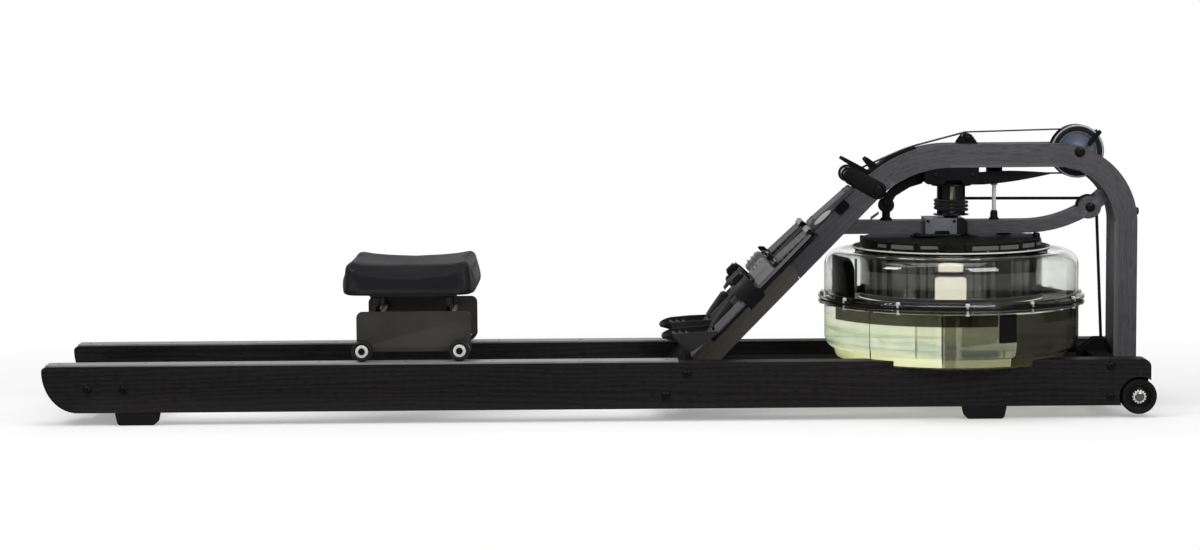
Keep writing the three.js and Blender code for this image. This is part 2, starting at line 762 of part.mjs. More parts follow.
function addPulleys() {
  const top = grooved(topPulleyRadius, topPulleyBedRadius, topPulleyWidth, topPulleyFlange,
    pulleyPinRadius + seatGap);
  addPiece('top_pulley', closed(turnedY(top, topPulleyX, topPulleyZ, 32)), discSmoke);
  const flange = cordPulleyWidth / 2 - cordRadius - seatGap;
  const small = grooved(cordPulleyRadius, cordGrooveRadius, cordPulleyWidth, flange, cordPinRadius + seatGap);
  addPiece('arm_pulley', closed(turnedY(small, armPulleyX, armPulleyZ, 20)), plasticBlack);
  addPiece('low_pulley', closed(turnedY(small, lowPulleyX, lowPulleyZ, 20)), plasticBlack);
  const half = guideLength / 2;
  const roller = [[guidePinRadius + seatGap, -half], [guideRadius, -half], [guideRadius, half],
    [guidePinRadius + seatGap, half], [guidePinRadius + seatGap, -half]];
  addPiece('guide_roller', closed(turnedY(roller, guideX, guideZ, 20)), plasticBlack);
  const base = beamTopZ + seatGap;
  const cheekShape = () => outline([
    [guideX - guideBaseLength / 2, base],
    [guideX + guideBaseLength / 2, base],
    [guideX + guidePinRadius * 2, guideZ + guidePinRadius * 2],
    [guideX - guidePinRadius * 2, guideZ + guidePinRadius * 2],
  ]);
  const inner = half + runGap;
  const cheeks = sides.map(([, side]) => slab(cheekShape(), ...between(side, inner, inner + guideCheek)));
  const foot = block(guideX - guideBaseLength / 2, guideX + guideBaseLength / 2,
    -inner - guideCheek / 2, inner + guideCheek / 2, base, base + guideBaseThickness);
  const pin = rodY(guideX, guideZ, guidePinRadius, -inner - guideCheek / 2, inner + guideCheek / 2, 12);
  addPiece('guide_bracket', joined([...cheeks, foot, pin]), plasticBlack);
}

function addLowBracket() {
  const left = lowPulleyX - lowBracketLength / 2;
  const right = lowPulleyX + lowBracketLength / 2 - seatGap * 2;
  const shape = () => outline([
    [left, lowBracketBaseZ], [right, lowBracketBaseZ], [right, lowBracketTopZ - lowBracketShoulder],
    [lowPulleyX + lowBracketShoulder, lowBracketTopZ], [lowPulleyX, lowBracketTopZ],
    [left, lowBracketTopZ - lowBracketShoulder]]);
  const outerY = frontNotchHalfWidth - seatGap;
  const cheeks = sides.map(([, side]) => slab(shape(), ...between(side, outerY - lowBracketCheek, outerY)));
  const pin = rodY(lowPulleyX, lowPulleyZ, cordPinRadius, -outerY + seatGap, outerY - seatGap, 12);
  addPiece('low_pulley_bracket', joined([...cheeks, pin]), plasticBlack);
}

// Spool, windings, shaft and impeller
function addSpool() {
  const bore = shaftRadius + shaftBoreGap / 2;
  const profile = [[bore, spoolBaseZ], [spoolHubRadius, spoolBaseZ],
    [spoolHubRadius, spoolBaseZ + spoolHubHeight], [spoolLowFlangeRadius, spoolBaseZ + spoolHubHeight],
    [spoolLowFlangeRadius, drumBaseZ], [spoolDrumRadius, drumBaseZ], [spoolDrumRadius, drumTopZ],
    [spoolHighFlangeRadius, drumTopZ], [spoolHighFlangeRadius, strapBayZ], [spoolCoreRadius, strapBayZ],
    [spoolCoreRadius, strapBayZ + strapBayHeight], [spoolHighFlangeRadius, strapBayZ + strapBayHeight],
    [spoolHighFlangeRadius, spoolTopZ], [bore, spoolTopZ], [bore, spoolBaseZ]];
  addPiece('spool', closed(turnedZ(profile, shaftX, 0, 24)), plasticBlack);
}

const loopSteps = 24;
const strapPitch = strapThickness + strapLoopGap;
const strapFirstRadius = spoolCoreRadius + seatGap + strapThickness / 2;
const strapLastRadius = strapFirstRadius + strapLoops * strapPitch;
const cordCoilRadius = spoolDrumRadius + seatGap + cordRadius;
const cordPitch = 2 * cordRadius + cordLoopGap;
const cordCoilBaseZ = drumBaseZ + cordLoopBase;
const cordCoilTopZ = cordCoilBaseZ + cordLoops * cordPitch;

function addWindings() {
  const up = new THREE.Vector3(0, 0, 1);
  const strap = Array.from({ length: strapLoops * loopSteps + 1 }, (_, i) => {
    const turn = -Math.PI / 2 - (2 * Math.PI * (strapLoops * loopSteps - i)) / loopSteps;
    const radius = strapFirstRadius + (strapPitch * i) / loopSteps;
    return new THREE.Vector3(shaftX + radius * Math.cos(turn), radius * Math.sin(turn), strapSpoolZ);
  });
  const band = swept(stationsAlong(strap, () => up), bandSection(strapWidth, strapThickness));
  addPiece('strap_coil', band, webbing);
  console.log('strap coil, least gap', leastLoopGap(strap, loopSteps, strapThickness).toFixed(2));
  const cord = Array.from({ length: cordLoops * loopSteps + 1 }, (_, i) => {
    const turn = Math.PI / 2 + (2 * Math.PI * (cordLoops * loopSteps - i)) / loopSteps;
    return new THREE.Vector3(shaftX + cordCoilRadius * Math.cos(turn), cordCoilRadius * Math.sin(turn),
      cordCoilBaseZ + (cordPitch * i) / loopSteps);
  });
  const tube = swept(stationsAlong(cord, () => up), roundSection(cordRadius, 6));
  addPiece('cord_coil', tube, rubberBlack);
  console.log('cord coil, least gap', leastLoopGap(cord, loopSteps, 2 * cordRadius).toFixed(2));
}

function addShaft() {
  const shaft = rodZ(shaftX, 0, shaftRadius, tankFloorZ + seatGap, shaftTopZ, 20);
  addPiece('shaft', shaft, steelBright);
  const baseZ = tankFloorZ + impellerFloorGap;
  const topZ = baseZ + impellerBladeHeight;
  const hub = rodZ(shaftX, 0, impellerHubRadius, baseZ, topZ, 20);
  const blades = Array.from({ length: impellerBlades }, (_, k) => {
    const blade = new THREE.BoxGeometry(impellerRadius, impellerBladeThickness, impellerBladeHeight);
    blade.translate(impellerRadius / 2, 0, (baseZ + topZ) / 2);
    return blade.rotateZ((2 * Math.PI * k) / impellerBlades).translate(shaftX, 0, 0);
  });
  const bore = rodZ(shaftX, 0, shaftRadius + seatGap, baseZ - cutOverrun, topZ + cutOverrun, 20);
  addPiece('impeller', toGeometry([hub, ...blades].map(toSolid)
    .reduce((whole, next) => whole.add(next)).subtract(toSolid(bore))), plasticGrey);
}

// Grey bearing block that straddles the arm, and the cage that holds the shaft's top end
function addBearings() {
  const inner = armWidth / 2 + seatGap;
  const outer = inner + blockWall;
  const half = blockLength / 2;
  const base = armBaseZ - blockDrop;
  const cheek = (side) => {
    const [y0, y1] = between(side, inner, outer);
    const bite = rodY(shaftX, base - blockCutRadius * blockCutDropShare, blockCutRadius,
      y0 - cutOverrun, y1 + cutOverrun, 24);
    return cutBy(block(shaftX - half, shaftX + half, y0, y1, base, blockTopZ), [bite]);
  };
  const crown = block(shaftX - half, shaftX + half, -outer, outer, armTopZ + seatGap, blockTopZ);
  const whole = joined([cheek(-1), cheek(1), crown]);
  const bore = rodZ(shaftX, 0, shaftRadius + shaftBoreGap, base, blockTopZ + cutOverrun, 20);
  addPiece('bearing_block', cutBy(whole, [bore]), steelGrey);
  const reach = hangerLength / 2;
  const plate = block(shaftX - reach, shaftX + reach, -beamHalf, beamHalf, hangerPlateZ, hangerTopZ);
  const walls = sides.map(([, side]) => {
    const [y0, y1] = between(side, beamHalf - hangerWall, beamHalf);
    return block(shaftX - reach, shaftX + reach, y0, y1, hangerTopZ - hangerDrop, hangerTopZ);
  });
  const socket = rodZ(shaftX, 0, shaftRadius + shaftBoreGap / 2, hangerPlateZ - cutOverrun,
    hangerTopZ + cutOverrun, 20);
  addPiece('spool_cage', cutBy(joined([plate, ...walls]), [socket, archKeepout()]), plasticBlack);
}

function addStay() {
  const bootBase = armTopZ + seatGap;
  const headTop = beamUnderZ - seatGap;
  const headBase = headTop - stayHeadHeight;
  addPiece('stay', joined([
    rodZ(stayX, 0, stayRadius, bootBase, headBase + stayRadius, 14),
    rodZ(stayX, 0, stayBootRadius, bootBase, bootBase + stayBootHeight, 16),
    block(stayX - stayHeadLength / 2, stayX + stayHeadLength / 2,
      -stayHeadWidth / 2, stayHeadWidth / 2, headBase, headTop),
  ]), steelBright);
}

// Post with a round head on the arm, and the flat brace that twists from the cage down to it
function addBrace() {
  const headZ = armTopZ + postHeadLift;
  const post = rodZ(postX, 0, postRadius, armTopZ + seatGap, headZ, 14);
  const head = rodY(postX, headZ, postHeadRadius, -postHeadWidth / 2, postHeadWidth / 2, 24);
  const start = new THREE.Vector3(shaftX - hangerLength / 2 - seatGap, 0, hangerTopZ - hangerDrop / 2);
  const end = new THREE.Vector3(postX + postHeadRadius / 2, 0, headZ + postHeadRadius / 2);
  const steps = 10;
  const places = Array.from({ length: steps + 1 }, (_, i) => start.clone().lerp(end, i / steps));
  const twist = (i) => {
    const turn = (Math.PI / 2) * THREE.MathUtils.smoothstep(i / steps, ...braceTwistShares);
    return new THREE.Vector3(0, Math.sin(turn), Math.cos(turn));
  };
  const brace = swept(stationsAlong(places, twist), bandSection(braceWidth, braceThickness));
  addPiece('brace_post', cutBy(joined([post, head, brace]), [archKeepout()]), plasticBlack);
}

// Water tank
function quarter(centreR, centreZ, spanR, spanZ, from, steps) {
  return Array.from({ length: steps + 1 }, (_, k) => {
    const turn = from + ((Math.PI / 2) * k) / steps;
    return [centreR + spanR * Math.cos(turn), centreZ + spanZ * Math.sin(turn)];
  });
}

const tankSides = 28;

// The bowl's wall from its flat base up to its straight side, drawn in by a given depth
function bowlWall(inset) {
  const footTopZ = tankBaseZ + tankFootHeight;
  return [
    ...quarter(tankBaseRadius - tankFootRound, footTopZ, tankFootRound - inset, tankFootHeight - inset,
      -Math.PI / 2, 2),
    ...quarter(tankBaseRadius, footTopZ + tankFlareHeight, tankRadius - tankBaseRadius - inset,
      tankFlareHeight - inset, -Math.PI / 2, 3),
  ];
}

function addTank() {
  const lowTop = tankSeamZ;
  const lower = [[0, tankBaseZ], ...bowlWall(0),
    [tankRadius, lowTop - tankFlangeThickness], [tankFlangeRadius, lowTop - tankFlangeThickness],
    [tankFlangeRadius, lowTop], [tankRadius - tankWall, lowTop],
    ...bowlWall(tankWall).reverse(), [0, tankFloorZ]];
  const upBase = lowTop + gasketThickness + 2 * seatGap;
  const shoulderR = tankRadius - tankShoulderRound;
  const shoulderZ = tankShoulderZ - tankShoulderRound;
  const upper = [[tankRadius - tankWall, upBase], [tankFlangeRadius, upBase],
    [tankFlangeRadius, tankFlangeTopZ], [tankRadius, tankFlangeTopZ],
    ...quarter(shoulderR, shoulderZ, tankShoulderRound, tankShoulderRound, 0, 4),
    [tankMouthRadius, tankShoulderZ], [tankMouthRadius, tankShoulderZ - tankWall],
    ...quarter(shoulderR, shoulderZ, tankShoulderRound - tankWall, tankShoulderRound - tankWall, 0, 4)
      .reverse(),
    [tankRadius - tankWall, upBase]];
  const gasket = [[tankRadius - tankWall, lowTop + seatGap],
    [tankFlangeRadius - gasketInset, lowTop + seatGap],
    [tankFlangeRadius - gasketInset, lowTop + seatGap + gasketThickness],
    [tankRadius - tankWall, lowTop + seatGap + gasketThickness],
    [tankRadius - tankWall, lowTop + seatGap]];
  addPiece('tank_bowl', closed(turnedZ(lower, shaftX, 0, tankSides)), tankSmoke);
  addPiece('tank_dome', closed(turnedZ(upper, shaftX, 0, tankSides)), tankSmoke);
  addPiece('tank_gasket', closed(turnedZ(gasket, shaftX, 0, tankSides)), rubberBlack);
}

function addLid() {
  const rimBase = tankShoulderZ + seatGap;
  const bore = shaftRadius + shaftBoreGap;
  const crownInner = lidTopZ - tankWall;
  const lid = [[bore, crownInner], [lidSkirtRadius - tankWall, crownInner],
    [lidSkirtRadius - tankWall, tankShoulderZ - lidSkirtDepth],
    [lidSkirtRadius, tankShoulderZ - lidSkirtDepth],
    [lidSkirtRadius, rimBase], [lidRadius, rimBase], [lidRadius, rimBase + lidRimHeight],
    [lidCrownRadius, lidTopZ], [lidHubRadius, lidTopZ], [lidHubRadius, lidTopZ + lidRimHeight],
    [bore, lidTopZ + lidRimHeight], [bore, crownInner]];
  addPiece('tank_lid', closed(turnedZ(lid, shaftX, 0, tankSides)), tankDark);
}

// The water fills the bowl up to its level, and stays clear of the impeller's sweep
function addWater() {
  const clear = impellerRadius + waterImpellerGap;
  const poolZ = tankFloorZ + impellerFloorGap - waterImpellerGap;
  const low = tankFloorZ + seatGap;
  const water = [[shaftRadius + waterImpellerGap, low], ...bowlWall(tankWall + seatGap),
    [tankRadius - tankWall - seatGap, waterLevelZ], [clear, waterLevelZ], [clear, poolZ],
    [shaftRadius + waterImpellerGap, poolZ], [shaftRadius + waterImpellerGap, low]];
  addPiece('water', closed(turnedZ(water, shaftX, 0, tankSides)), waterTint);
}

// Handle: a bent tube with two straight grips and the clamp that takes the strap
function handlePlace(y) {
  const share = Math.max(Math.abs(y) - handleStraightHalf, 0) / (handleHalfLength - handleStraightHalf);
  const at = onSlope(handleRestShift + handleSweep * share, handleLift - handleDrop * share);
  return new THREE.Vector3(at.x, y, at.y);
}

function addHandle() {
  const end = handleHalfLength - handleGripRadius + handleTubeRadius;
  const places = [-end, -handleStraightHalf, handleStraightHalf, end].map(handlePlace);
  const across = new THREE.Vector3(1, 0, 0);
  const tube = swept(stationsAlong(places, () => across), roundSection(handleTubeRadius, 14));
  const centre = handlePlace(0);
  const clamp = rodY(centre.x, centre.z, handleClampRadius, -handleClampHalfWidth, handleClampHalfWidth, 18);
  addPiece('handle_bar', joined([tube, clamp]), steelDark);
  const ring = new THREE.Shape();
  ring.absarc(0, 0, handleGripRadius, 0, 2 * Math.PI, false);
  const bore = new THREE.Path();
  bore.absarc(0, 0, handleTubeRadius + seatGap, 0, 2 * Math.PI, true);
  ring.holes.push(bore);
  for (const [name, side] of sides) {
    const run = new THREE.LineCurve3(
      handlePlace(side * handleGripStart), handlePlace(side * handleHalfLength));
    const grip = new THREE.ExtrudeGeometry(ring, { steps: 1, extrudePath: run, curveSegments: 9 });
    addPiece(`handle_grip_${name}`, closed(grip), gripFoam);
  }
}

// Rest: a foot on the slope with a tongue over the bend, and two saddled prongs that hold the handle
function addHandleRest() {
  const base = seatGap;
  const bendStart = slopeDir.dot(new THREE.Vector2(rearBendX, rearBendZ).sub(slopeOrigin));
  const shape = new THREE.Shape();
  const low = onSlope(coverEnd + seatGap, base);
  const top = onSlope(coverEnd + seatGap, base + restTongue);
  const slopeTurn = Math.PI / 2 + slopeAngle;
  const joinTop = onSlope(bendStart, base + restTongue);
  shape.moveTo(low.x, low.y);
  shape.absarc(rearBendX, rearBendZ, rearBendRadius + base, slopeTurn, slopeTurn - restTongueSweep, true);
  shape.absarc(rearBendX, rearBendZ, rearBendRadius + base + restTongue,
    slopeTurn - restTongueSweep, slopeTurn, false);
  shape.lineTo(joinTop.x, joinTop.y);
  shape.lineTo(top.x, top.y);
  const strip = slab(shape, -restProngInner - restProngWidth, restProngInner + restProngWidth, 10);
  const stop = handleRestShift + handleGripRadius + restProngThickness;
  const prong = [[stop, base + seatGap], [stop + restProngThickness, base + seatGap],
    [stop - restProngLean + restProngThickness, restProngHeight], [stop - restProngLean, restProngHeight]];
  const bump = [[stop + restBumpShift - restProngThickness, base + seatGap],
    [stop + restBumpShift + restProngThickness, base + seatGap],
    [stop + restBumpShift + restProngThickness / 2, restBumpHeight],
    [stop + restBumpShift - restProngThickness / 2, restBumpHeight]];
  const saddle = [[handleRestShift - handleTubeRadius, base + seatGap], [stop + seatGap, base + seatGap],
    [stop + seatGap, handleLift], [handleRestShift - handleTubeRadius, handleLift - handleTubeRadius / 2]];
  const cheeks = sides.flatMap(([, side]) => {
    const [y0, y1] = between(side, restProngInner, restProngInner + restProngWidth);
    return [prong, bump, saddle].map((pairs) => slopeSlab(pairs, y0, y1));
  });
  const tube = onSlope(handleRestShift, handleLift);
  const room = rodY(tube.x, tube.y, handleTubeRadius + seatGap, -beamHalf, beamHalf, 24);
  addPiece('handle_rest', cutBy(joined([strip, ...cheeks]), [room]), plasticBlack);
}

// Strap from the handle over the arch, the guide roller and the top pulley to the spool
function tangentTurn(a, b) {
  const gap = new THREE.Vector2(b.x - a.x, b.z - a.z);
  return gap.angle() + Math.acos((a.r - b.r) / gap.length()) - (gap.angle() > Math.PI ? 2 * Math.PI : 0);
}

const strapEnd = onSlope(handleRestShift, handleLift);
const strapStops = [
  { x: strapEnd.x, z: strapEnd.y, r: 0 },
  { x: rearBendX, z: rearBendZ, r: rearBendRadius + restTongue + 2 * seatGap + strapThickness / 2 },
  { x: guideX, z: guideZ, r: guideRunRadius },
  { x: topPulleyX, z: topPulleyZ, r: strapRunRadius },
];

function strapArc(stop, from, to, steps) {
  return arcPlaces(stop.x, stop.z, stop.r, from, to, steps);
}

function addStrap() {
  const [end, bend, guide, pulley] = strapStops;
  const acrossY = new THREE.Vector3(0, 1, 0);
  const first = tangentTurn(end, bend);
  const second = tangentTurn(bend, guide);
  const third = tangentTurn(guide, pulley);
  const start = strapArc(end, first, first, 1)[0];
  const touch = strapArc(bend, first, second, 4);
  const clear = handleClampRadius + strapEndGap;
  const begin = start.clone().addScaledVector(touch[0].clone().sub(start).normalize(), clear);
  const overGuide = strapArc(guide, second, Math.PI / 2, 2);
  const free = [begin, ...touch, ...overGuide];
  const section = bandSection(strapWidth, strapThickness);
  addPiece('strap_free', swept(stationsAlong(free, () => acrossY), section), webbing);
  const guideEnd = strapArc(guide, Math.PI / 2, third, 1)[0].add(new THREE.Vector3(seatGap, 0, 0));
  const wrap = strapArc(pulley, third, -Math.PI / 2, 16);
  const clearX = topPulleyX - topPulleyRadius;
  const leave = new THREE.Vector3(clearX, 0, topPulleyZ - strapRunRadius);
  const leadX = shaftX + spoolHighFlangeRadius + spoolCoreRadius;
  const lead = new THREE.Vector3(leadX, -strapLastRadius, strapSpoolZ);
  const meet = new THREE.Vector3(shaftX + spoolCoreRadius, -strapLastRadius, strapSpoolZ);
  const twistSteps = 8;
  const twisted = Array.from({ length: twistSteps + 1 }, (_, i) => leave.clone().lerp(lead, i / twistSteps));
  const places = [guideEnd, ...wrap, ...twisted, meet];
  const across = (i) => {
    const turn = (Math.PI / 2) * THREE.MathUtils.clamp((i - wrap.length - 1) / twistSteps, 0, 1);
    return new THREE.Vector3(0, Math.cos(turn), Math.sin(turn));
  };
  addPiece('strap_run', swept(stationsAlong(places, across), section), webbing);
}

// Elastic cord from the spool over the arm's pulley, down round the low pulley, and back below the
// tank to the foot of the arch
function addCord() {
  const first = { x: armPulleyX, z: armPulleyZ, r: cordRunRadius };
  const second = { x: lowPulleyX, z: lowPulleyZ, r: cordRunRadius };
  const leaveX = shaftX + spoolCoreRadius + cordRadius;
  const begin = new THREE.Vector3(leaveX, cordCoilRadius, cordCoilTopZ);
  const rise = Math.atan2(armPulleyZ + cordRunRadius - cordCoilTopZ, armPulleyX - leaveX);
  const drop = Math.atan2(second.x - first.x, first.z - second.z);
  const over = arcPlaces(first.x, first.z, first.r, Math.PI / 2 + rise / 2, drop, 6);
  const under = arcPlaces(second.x, second.z, second.r, drop, -Math.PI / 2, 6);
  const footX = slopeUndersideX + (lowPulleyZ - cordRunRadius + cordRadius - railTopZ) / Math.tan(slopeAngle);
  const end = new THREE.Vector3(footX + 2 * seatGap, 0, lowPulleyZ - cordRunRadius);
  const clearX = armPulleyX - cordPulleyRadius;
  const lead = new THREE.Vector3(clearX, 0, over[0].z + (clearX - over[0].x) * Math.tan(rise));
  const places = [begin, lead, ...over, ...under, end];
  const across = new THREE.Vector3(0, 1, 0);
  addPiece('cord_run', swept(stationsAlong(places, () => across), roundSection(cordRadius, 8)), rubberBlack);
}

// Foot rests
function addFootRests() {
  const outerY = plateInnerY + plateWidth;
  const base = slopeBlock(plateBaseStart, plateBaseEnd, seatGap, seatGap + plateBaseThickness,
    -outerY, outerY);
  const cover = slopeSlab([[plateBaseEnd - seatGap, seatGap], [coverEnd, seatGap],
    [coverEnd, coverHighHeight], [plateBaseEnd - seatGap, coverLowHeight]], -beamHalf, beamHalf);
  addPiece('foot_base', joined([base, cover]), plasticGrey);
  const soleBase = 2 * seatGap + plateBaseThickness;
  const soleTop = soleBase + plateSoleHeight;
  for (const [name, side] of sides) {
    const [y0, y1] = between(side, plateInnerY, outerY);
    const plate = slopeSlab([[plateBaseStart, soleBase], [sliderEnd, soleBase],
      [sliderEnd, soleBase + sliderHeight], [sliderStart, soleBase + sliderHeight],
      [sliderStart - heelWall, soleTop], [toeEnd + heelWall, soleTop],
      [toeEnd, soleBase + toeHighHeight], [toeStart, soleBase + toeLowHeight],
      [toeStart - heelWall, soleTop], [plateBaseStart, soleTop]], y0, y1);
    addPiece(`foot_plate_${name}`, plate, plasticGrey);
    addPiece(`heel_rest_${name}`, heelRest(side, soleTop + seatGap), plasticBlack);
    addPiece(`foot_strap_${name}`, footStrap(side, soleTop + seatGap), webbing);
  }
}

function heelRest(side, sole) {
  const inner = plateInnerY - seatGap;
  const outer = plateInnerY + plateWidth + seatGap;
  const shelf = [[plateBaseStart - heelWall, sole], [heelSideEnd, sole], [heelShelfShift, heelShelfHeight],
    [heelTopShift, heelTopHeight], [heelTipShift, heelTipHeight],
    [heelShelfShift - heelShelfThickness * 2, heelShelfHeight - heelShelfThickness / 2]];
  const panel = [[heelSideStart, heelSideLift], [heelSideEnd, heelSideLift],
    [heelShelfShift, heelShelfHeight], [heelTopShift, heelTopHeight], [heelTipShift, heelTipHeight]];
  const [y0, y1] = between(side, inner - heelWall, outer + heelWall);
  const walls = [between(side, inner - heelWall, inner), between(side, outer, outer + heelWall)];
  return joined([slopeSlab(shelf, y0, y1), ...walls.map(([a, b]) => slopeSlab(panel, a, b))]);
}

// A strap that arches over the sole between the plate's two edges
function footStrap(side, sole) {
  const [y0, y1] = between(side, plateInnerY, plateInnerY + plateWidth);
  const top = footStrapHeight + footStrapThickness;
  const arched = (inset) => {
    const round = footStrapRound - inset;
    const path = new THREE.Shape();
    path.moveTo(y0 + inset, sole);
    path.absarc(y0 + footStrapRound, top - footStrapRound, round, Math.PI, Math.PI / 2, true);
    path.absarc(y1 - footStrapRound, top - footStrapRound, round, Math.PI / 2, 0, true);
    path.lineTo(y1 - inset, sole);
    return path;
  };
  const outer = arched(0);
  const inner = arched(footStrapThickness).getPoints(5).reverse();
  const shape = new THREE.Shape([...outer.getPoints(5), ...inner]);
  const band = new THREE.ExtrudeGeometry(shape, { depth: footStrapWidth, bevelEnabled: false });
  const start = onSlope(footStrapStart, 0);
  const frame = new THREE.Matrix4().makeBasis(new THREE.Vector3(0, 1, 0),
    new THREE.Vector3(slopeNormal.x, 0, slopeNormal.y), new THREE.Vector3(slopeDir.x, 0, slopeDir.y));
  frame.setPosition(start.x, 0, start.y);
  return closed(band.applyMatrix4(frame));
}

// Seat carriage
function addSeatFrame() {
  const plateOuter = railInnerY + seatPlateInset;
  const plateInner = plateOuter - seatPlateThickness;
  const front = seatPlateRearX + seatPlateLength;
  const chassis = [];
  for (const [, side] of sides) {
    const shape = new THREE.Shape();
    shape.moveTo(seatPlateRearX, seatPlateBaseZ);
    shape.lineTo(front, seatPlateBaseZ);
    shape.absarc(front - seatPlateRound, seatPlateTopZ - seatPlateRound, seatPlateRound,
      0, Math.PI / 2, false);
    shape.absarc(seatPlateRearX + seatPlateRound, seatPlateTopZ - seatPlateRound, seatPlateRound,
      Math.PI / 2, Math.PI, false);
    const [y0, y1] = between(side, plateInner, plateOuter);
    chassis.push(slab(shape, y0, y1, 5));
  }
  const panBase = seatPadBaseZ - seatGap - seatPanThickness;
  const postXs = [seatRearPostX, seatRearPostX + seatPostSpread];
  const reach = plateInner - seatGap;
  const pieces = postXs.flatMap((x) => [rodY(x, seatTubeZ, seatTubeRadius, -reach, reach, 14),
    ...[-seatPostY, seatPostY].map((y) => rodZ(x, y, seatPostRadius, seatTubeZ, panBase + seatGap, 12))]);
  pieces.push(block(postXs[0] - seatPanMargin, postXs[1] + seatPanMargin,
    -seatPostY - seatPanMargin, seatPostY + seatPanMargin, panBase, panBase + seatPanThickness));
  addPiece('seat_frame', joined(pieces), steelDark);
  const wheelInner = seatWheelY - seatWheelWidth / 2;
  const wheelOuter = seatWheelY + seatWheelWidth / 2;
  const bore = seatAxleRadius + seatGap;
  for (const [place, x] of [['rear', seatRearWheelX], ['front', seatFrontWheelX]]) {
    const tip = wheelOuter + seatGap + seatAxleRadius / 2;
    chassis.push(rodY(x, seatWheelZ, seatAxleRadius, -tip, tip, 12));
    for (const [name, side] of sides) {
      const rim = seatWheelRadius - seatAxleRadius;
      const profile = [[bore, wheelInner], [rim, wheelInner], [seatWheelRadius, wheelInner + seatAxleRadius],
        [seatWheelRadius, wheelOuter - seatAxleRadius], [rim, wheelOuter], [bore, wheelOuter],
        [bore, wheelInner]].map(([radius, y]) => [radius, y * side]);
      addPiece(`seat_wheel_${place}_${name}`, closed(turnedY(profile, x, seatWheelZ, 18)), rubberBlack);
    }
  }
  addPiece('seat_chassis', joined(chassis), steelDark);
}

// Pad: stacked rings of a rounded outline, drawn in at the sides, with a saddle-shaped top
function addSeatPad() {
  const count = 40;
  const centreX = seatPadRearX + seatPadLength / 2;
  const halfX = seatPadLength / 2;
  const halfY = seatPadWidth / 2;
  const bluntShare = 0.5;
  const rise = (u, v) => seatPadHeight - seatPadEndRise + seatPadEndRise * Math.min(u * u, 1)
    + seatPadCrown * Math.max(1 - v * v, 0) * Math.max(1 - u * u, 0);
  const ringShares = [
    [0.5, 0, 0], [0.9, 0, 0], [0.97, 0.05, 0], [1, 0.18, 0], [0.985, 0.5, 0], [0.965, 0.8, 0],
    [0.94, 1, -0.1], [0.9, 1, -0.02], [0.84, 1, 0], [0.6, 1, 0], [0.3, 1, 0],
  ];
  const positions = [];
  const indices = [];
  const addPlace = (u, v, share, dip) => {
    const top = rise(u, v);
    const z = seatPadBaseZ + (share < 1 ? top * share : top + seatPadHeight * dip);
    positions.push(centreX + halfX * u, halfY * v, z);
  };
  for (const [size, share, dip] of ringShares) {
    for (let k = 0; k < count; k += 1) {
      const turn = (2 * Math.PI * k) / count;
      const blunt = (value) => Math.sign(value) * Math.abs(value) ** bluntShare;
      addPlace(size * blunt(Math.cos(turn)), size * blunt(Math.sin(turn)), share, dip);
    }
  }
  for (let i = 0; i + 1 < ringShares.length; i += 1) {
    for (let k = 0; k < count; k += 1) {
      const a = i * count + k;
      const b = i * count + ((k + 1) % count);
      indices.push(a, b, b + count, a, b + count, a + count);
    }
  }
  const bottom = positions.length / 3;
  addPlace(0, 0, 0, 0);
  addPlace(0, 0, 1, 0);
  const last = (ringShares.length - 1) * count;
  for (let k = 0; k < count; k += 1) {
    const next = (k + 1) % count;
    indices.push(bottom, next, k, bottom + 1, last + k, last + next);
  }
  const geometry = new THREE.BufferGeometry();
  geometry.setAttribute('position', new THREE.Float32BufferAttribute(positions, 3));
  geometry.setIndex(indices);
  addPiece('seat_pad', closed(geometry), seatSkin);
}

addRails();
addFloorPads();
addCrossMembers();
addArch();
addShaftArm();
addPulleyPins();
addTransportWheels();
addPulleys();
addLowBracket();
addSpool();
addWindings();
addShaft();
addBearings();
addStay();
addBrace();
addTank();
addLid();
addWater();
addHandle();
addHandleRest();
addStrap();
addCord();
addFootRests();
addSeatFrame();
addSeatPad();

export default machine;
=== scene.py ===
"""Looks of the water rowing machine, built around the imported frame.

Sizes are in millimetres and go to metres when a mesh is made. +X points from the seat to the tank,
+Z is up, near is the -Y side. Every piece is closed geometry with a material made of nodes.
"""
import contextlib
import math

import bmesh
import bpy
import numpy as np
from mathutils import Matrix, Vector


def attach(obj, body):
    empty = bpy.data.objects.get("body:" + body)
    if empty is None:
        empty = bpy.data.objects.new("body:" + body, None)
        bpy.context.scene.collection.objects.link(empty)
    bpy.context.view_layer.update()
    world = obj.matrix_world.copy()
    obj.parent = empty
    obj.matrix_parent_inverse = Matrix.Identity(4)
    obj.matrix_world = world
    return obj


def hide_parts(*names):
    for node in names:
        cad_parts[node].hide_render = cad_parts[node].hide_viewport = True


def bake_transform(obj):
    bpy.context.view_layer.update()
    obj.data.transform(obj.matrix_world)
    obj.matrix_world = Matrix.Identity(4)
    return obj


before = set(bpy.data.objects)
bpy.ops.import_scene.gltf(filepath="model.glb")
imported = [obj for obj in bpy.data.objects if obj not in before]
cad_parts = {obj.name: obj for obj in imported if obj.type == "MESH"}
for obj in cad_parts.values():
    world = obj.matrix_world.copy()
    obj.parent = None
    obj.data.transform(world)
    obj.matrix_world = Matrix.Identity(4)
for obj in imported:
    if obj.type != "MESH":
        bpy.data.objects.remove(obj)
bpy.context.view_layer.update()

MM = 0.001
SLOPE = math.radians(45.5)
SLOPE_ORIGIN = (186.91, 112.0)
UP, ACROSS = Vector((0, 0, 1)), Vector((0, 1, 0))
ALONG = Vector((math.cos(SLOPE), 0, math.sin(SLOPE)))
OFF = Vector((-math.sin(SLOPE), 0, math.cos(SLOPE)))
SIDES = (("near", -1), ("far", 1))

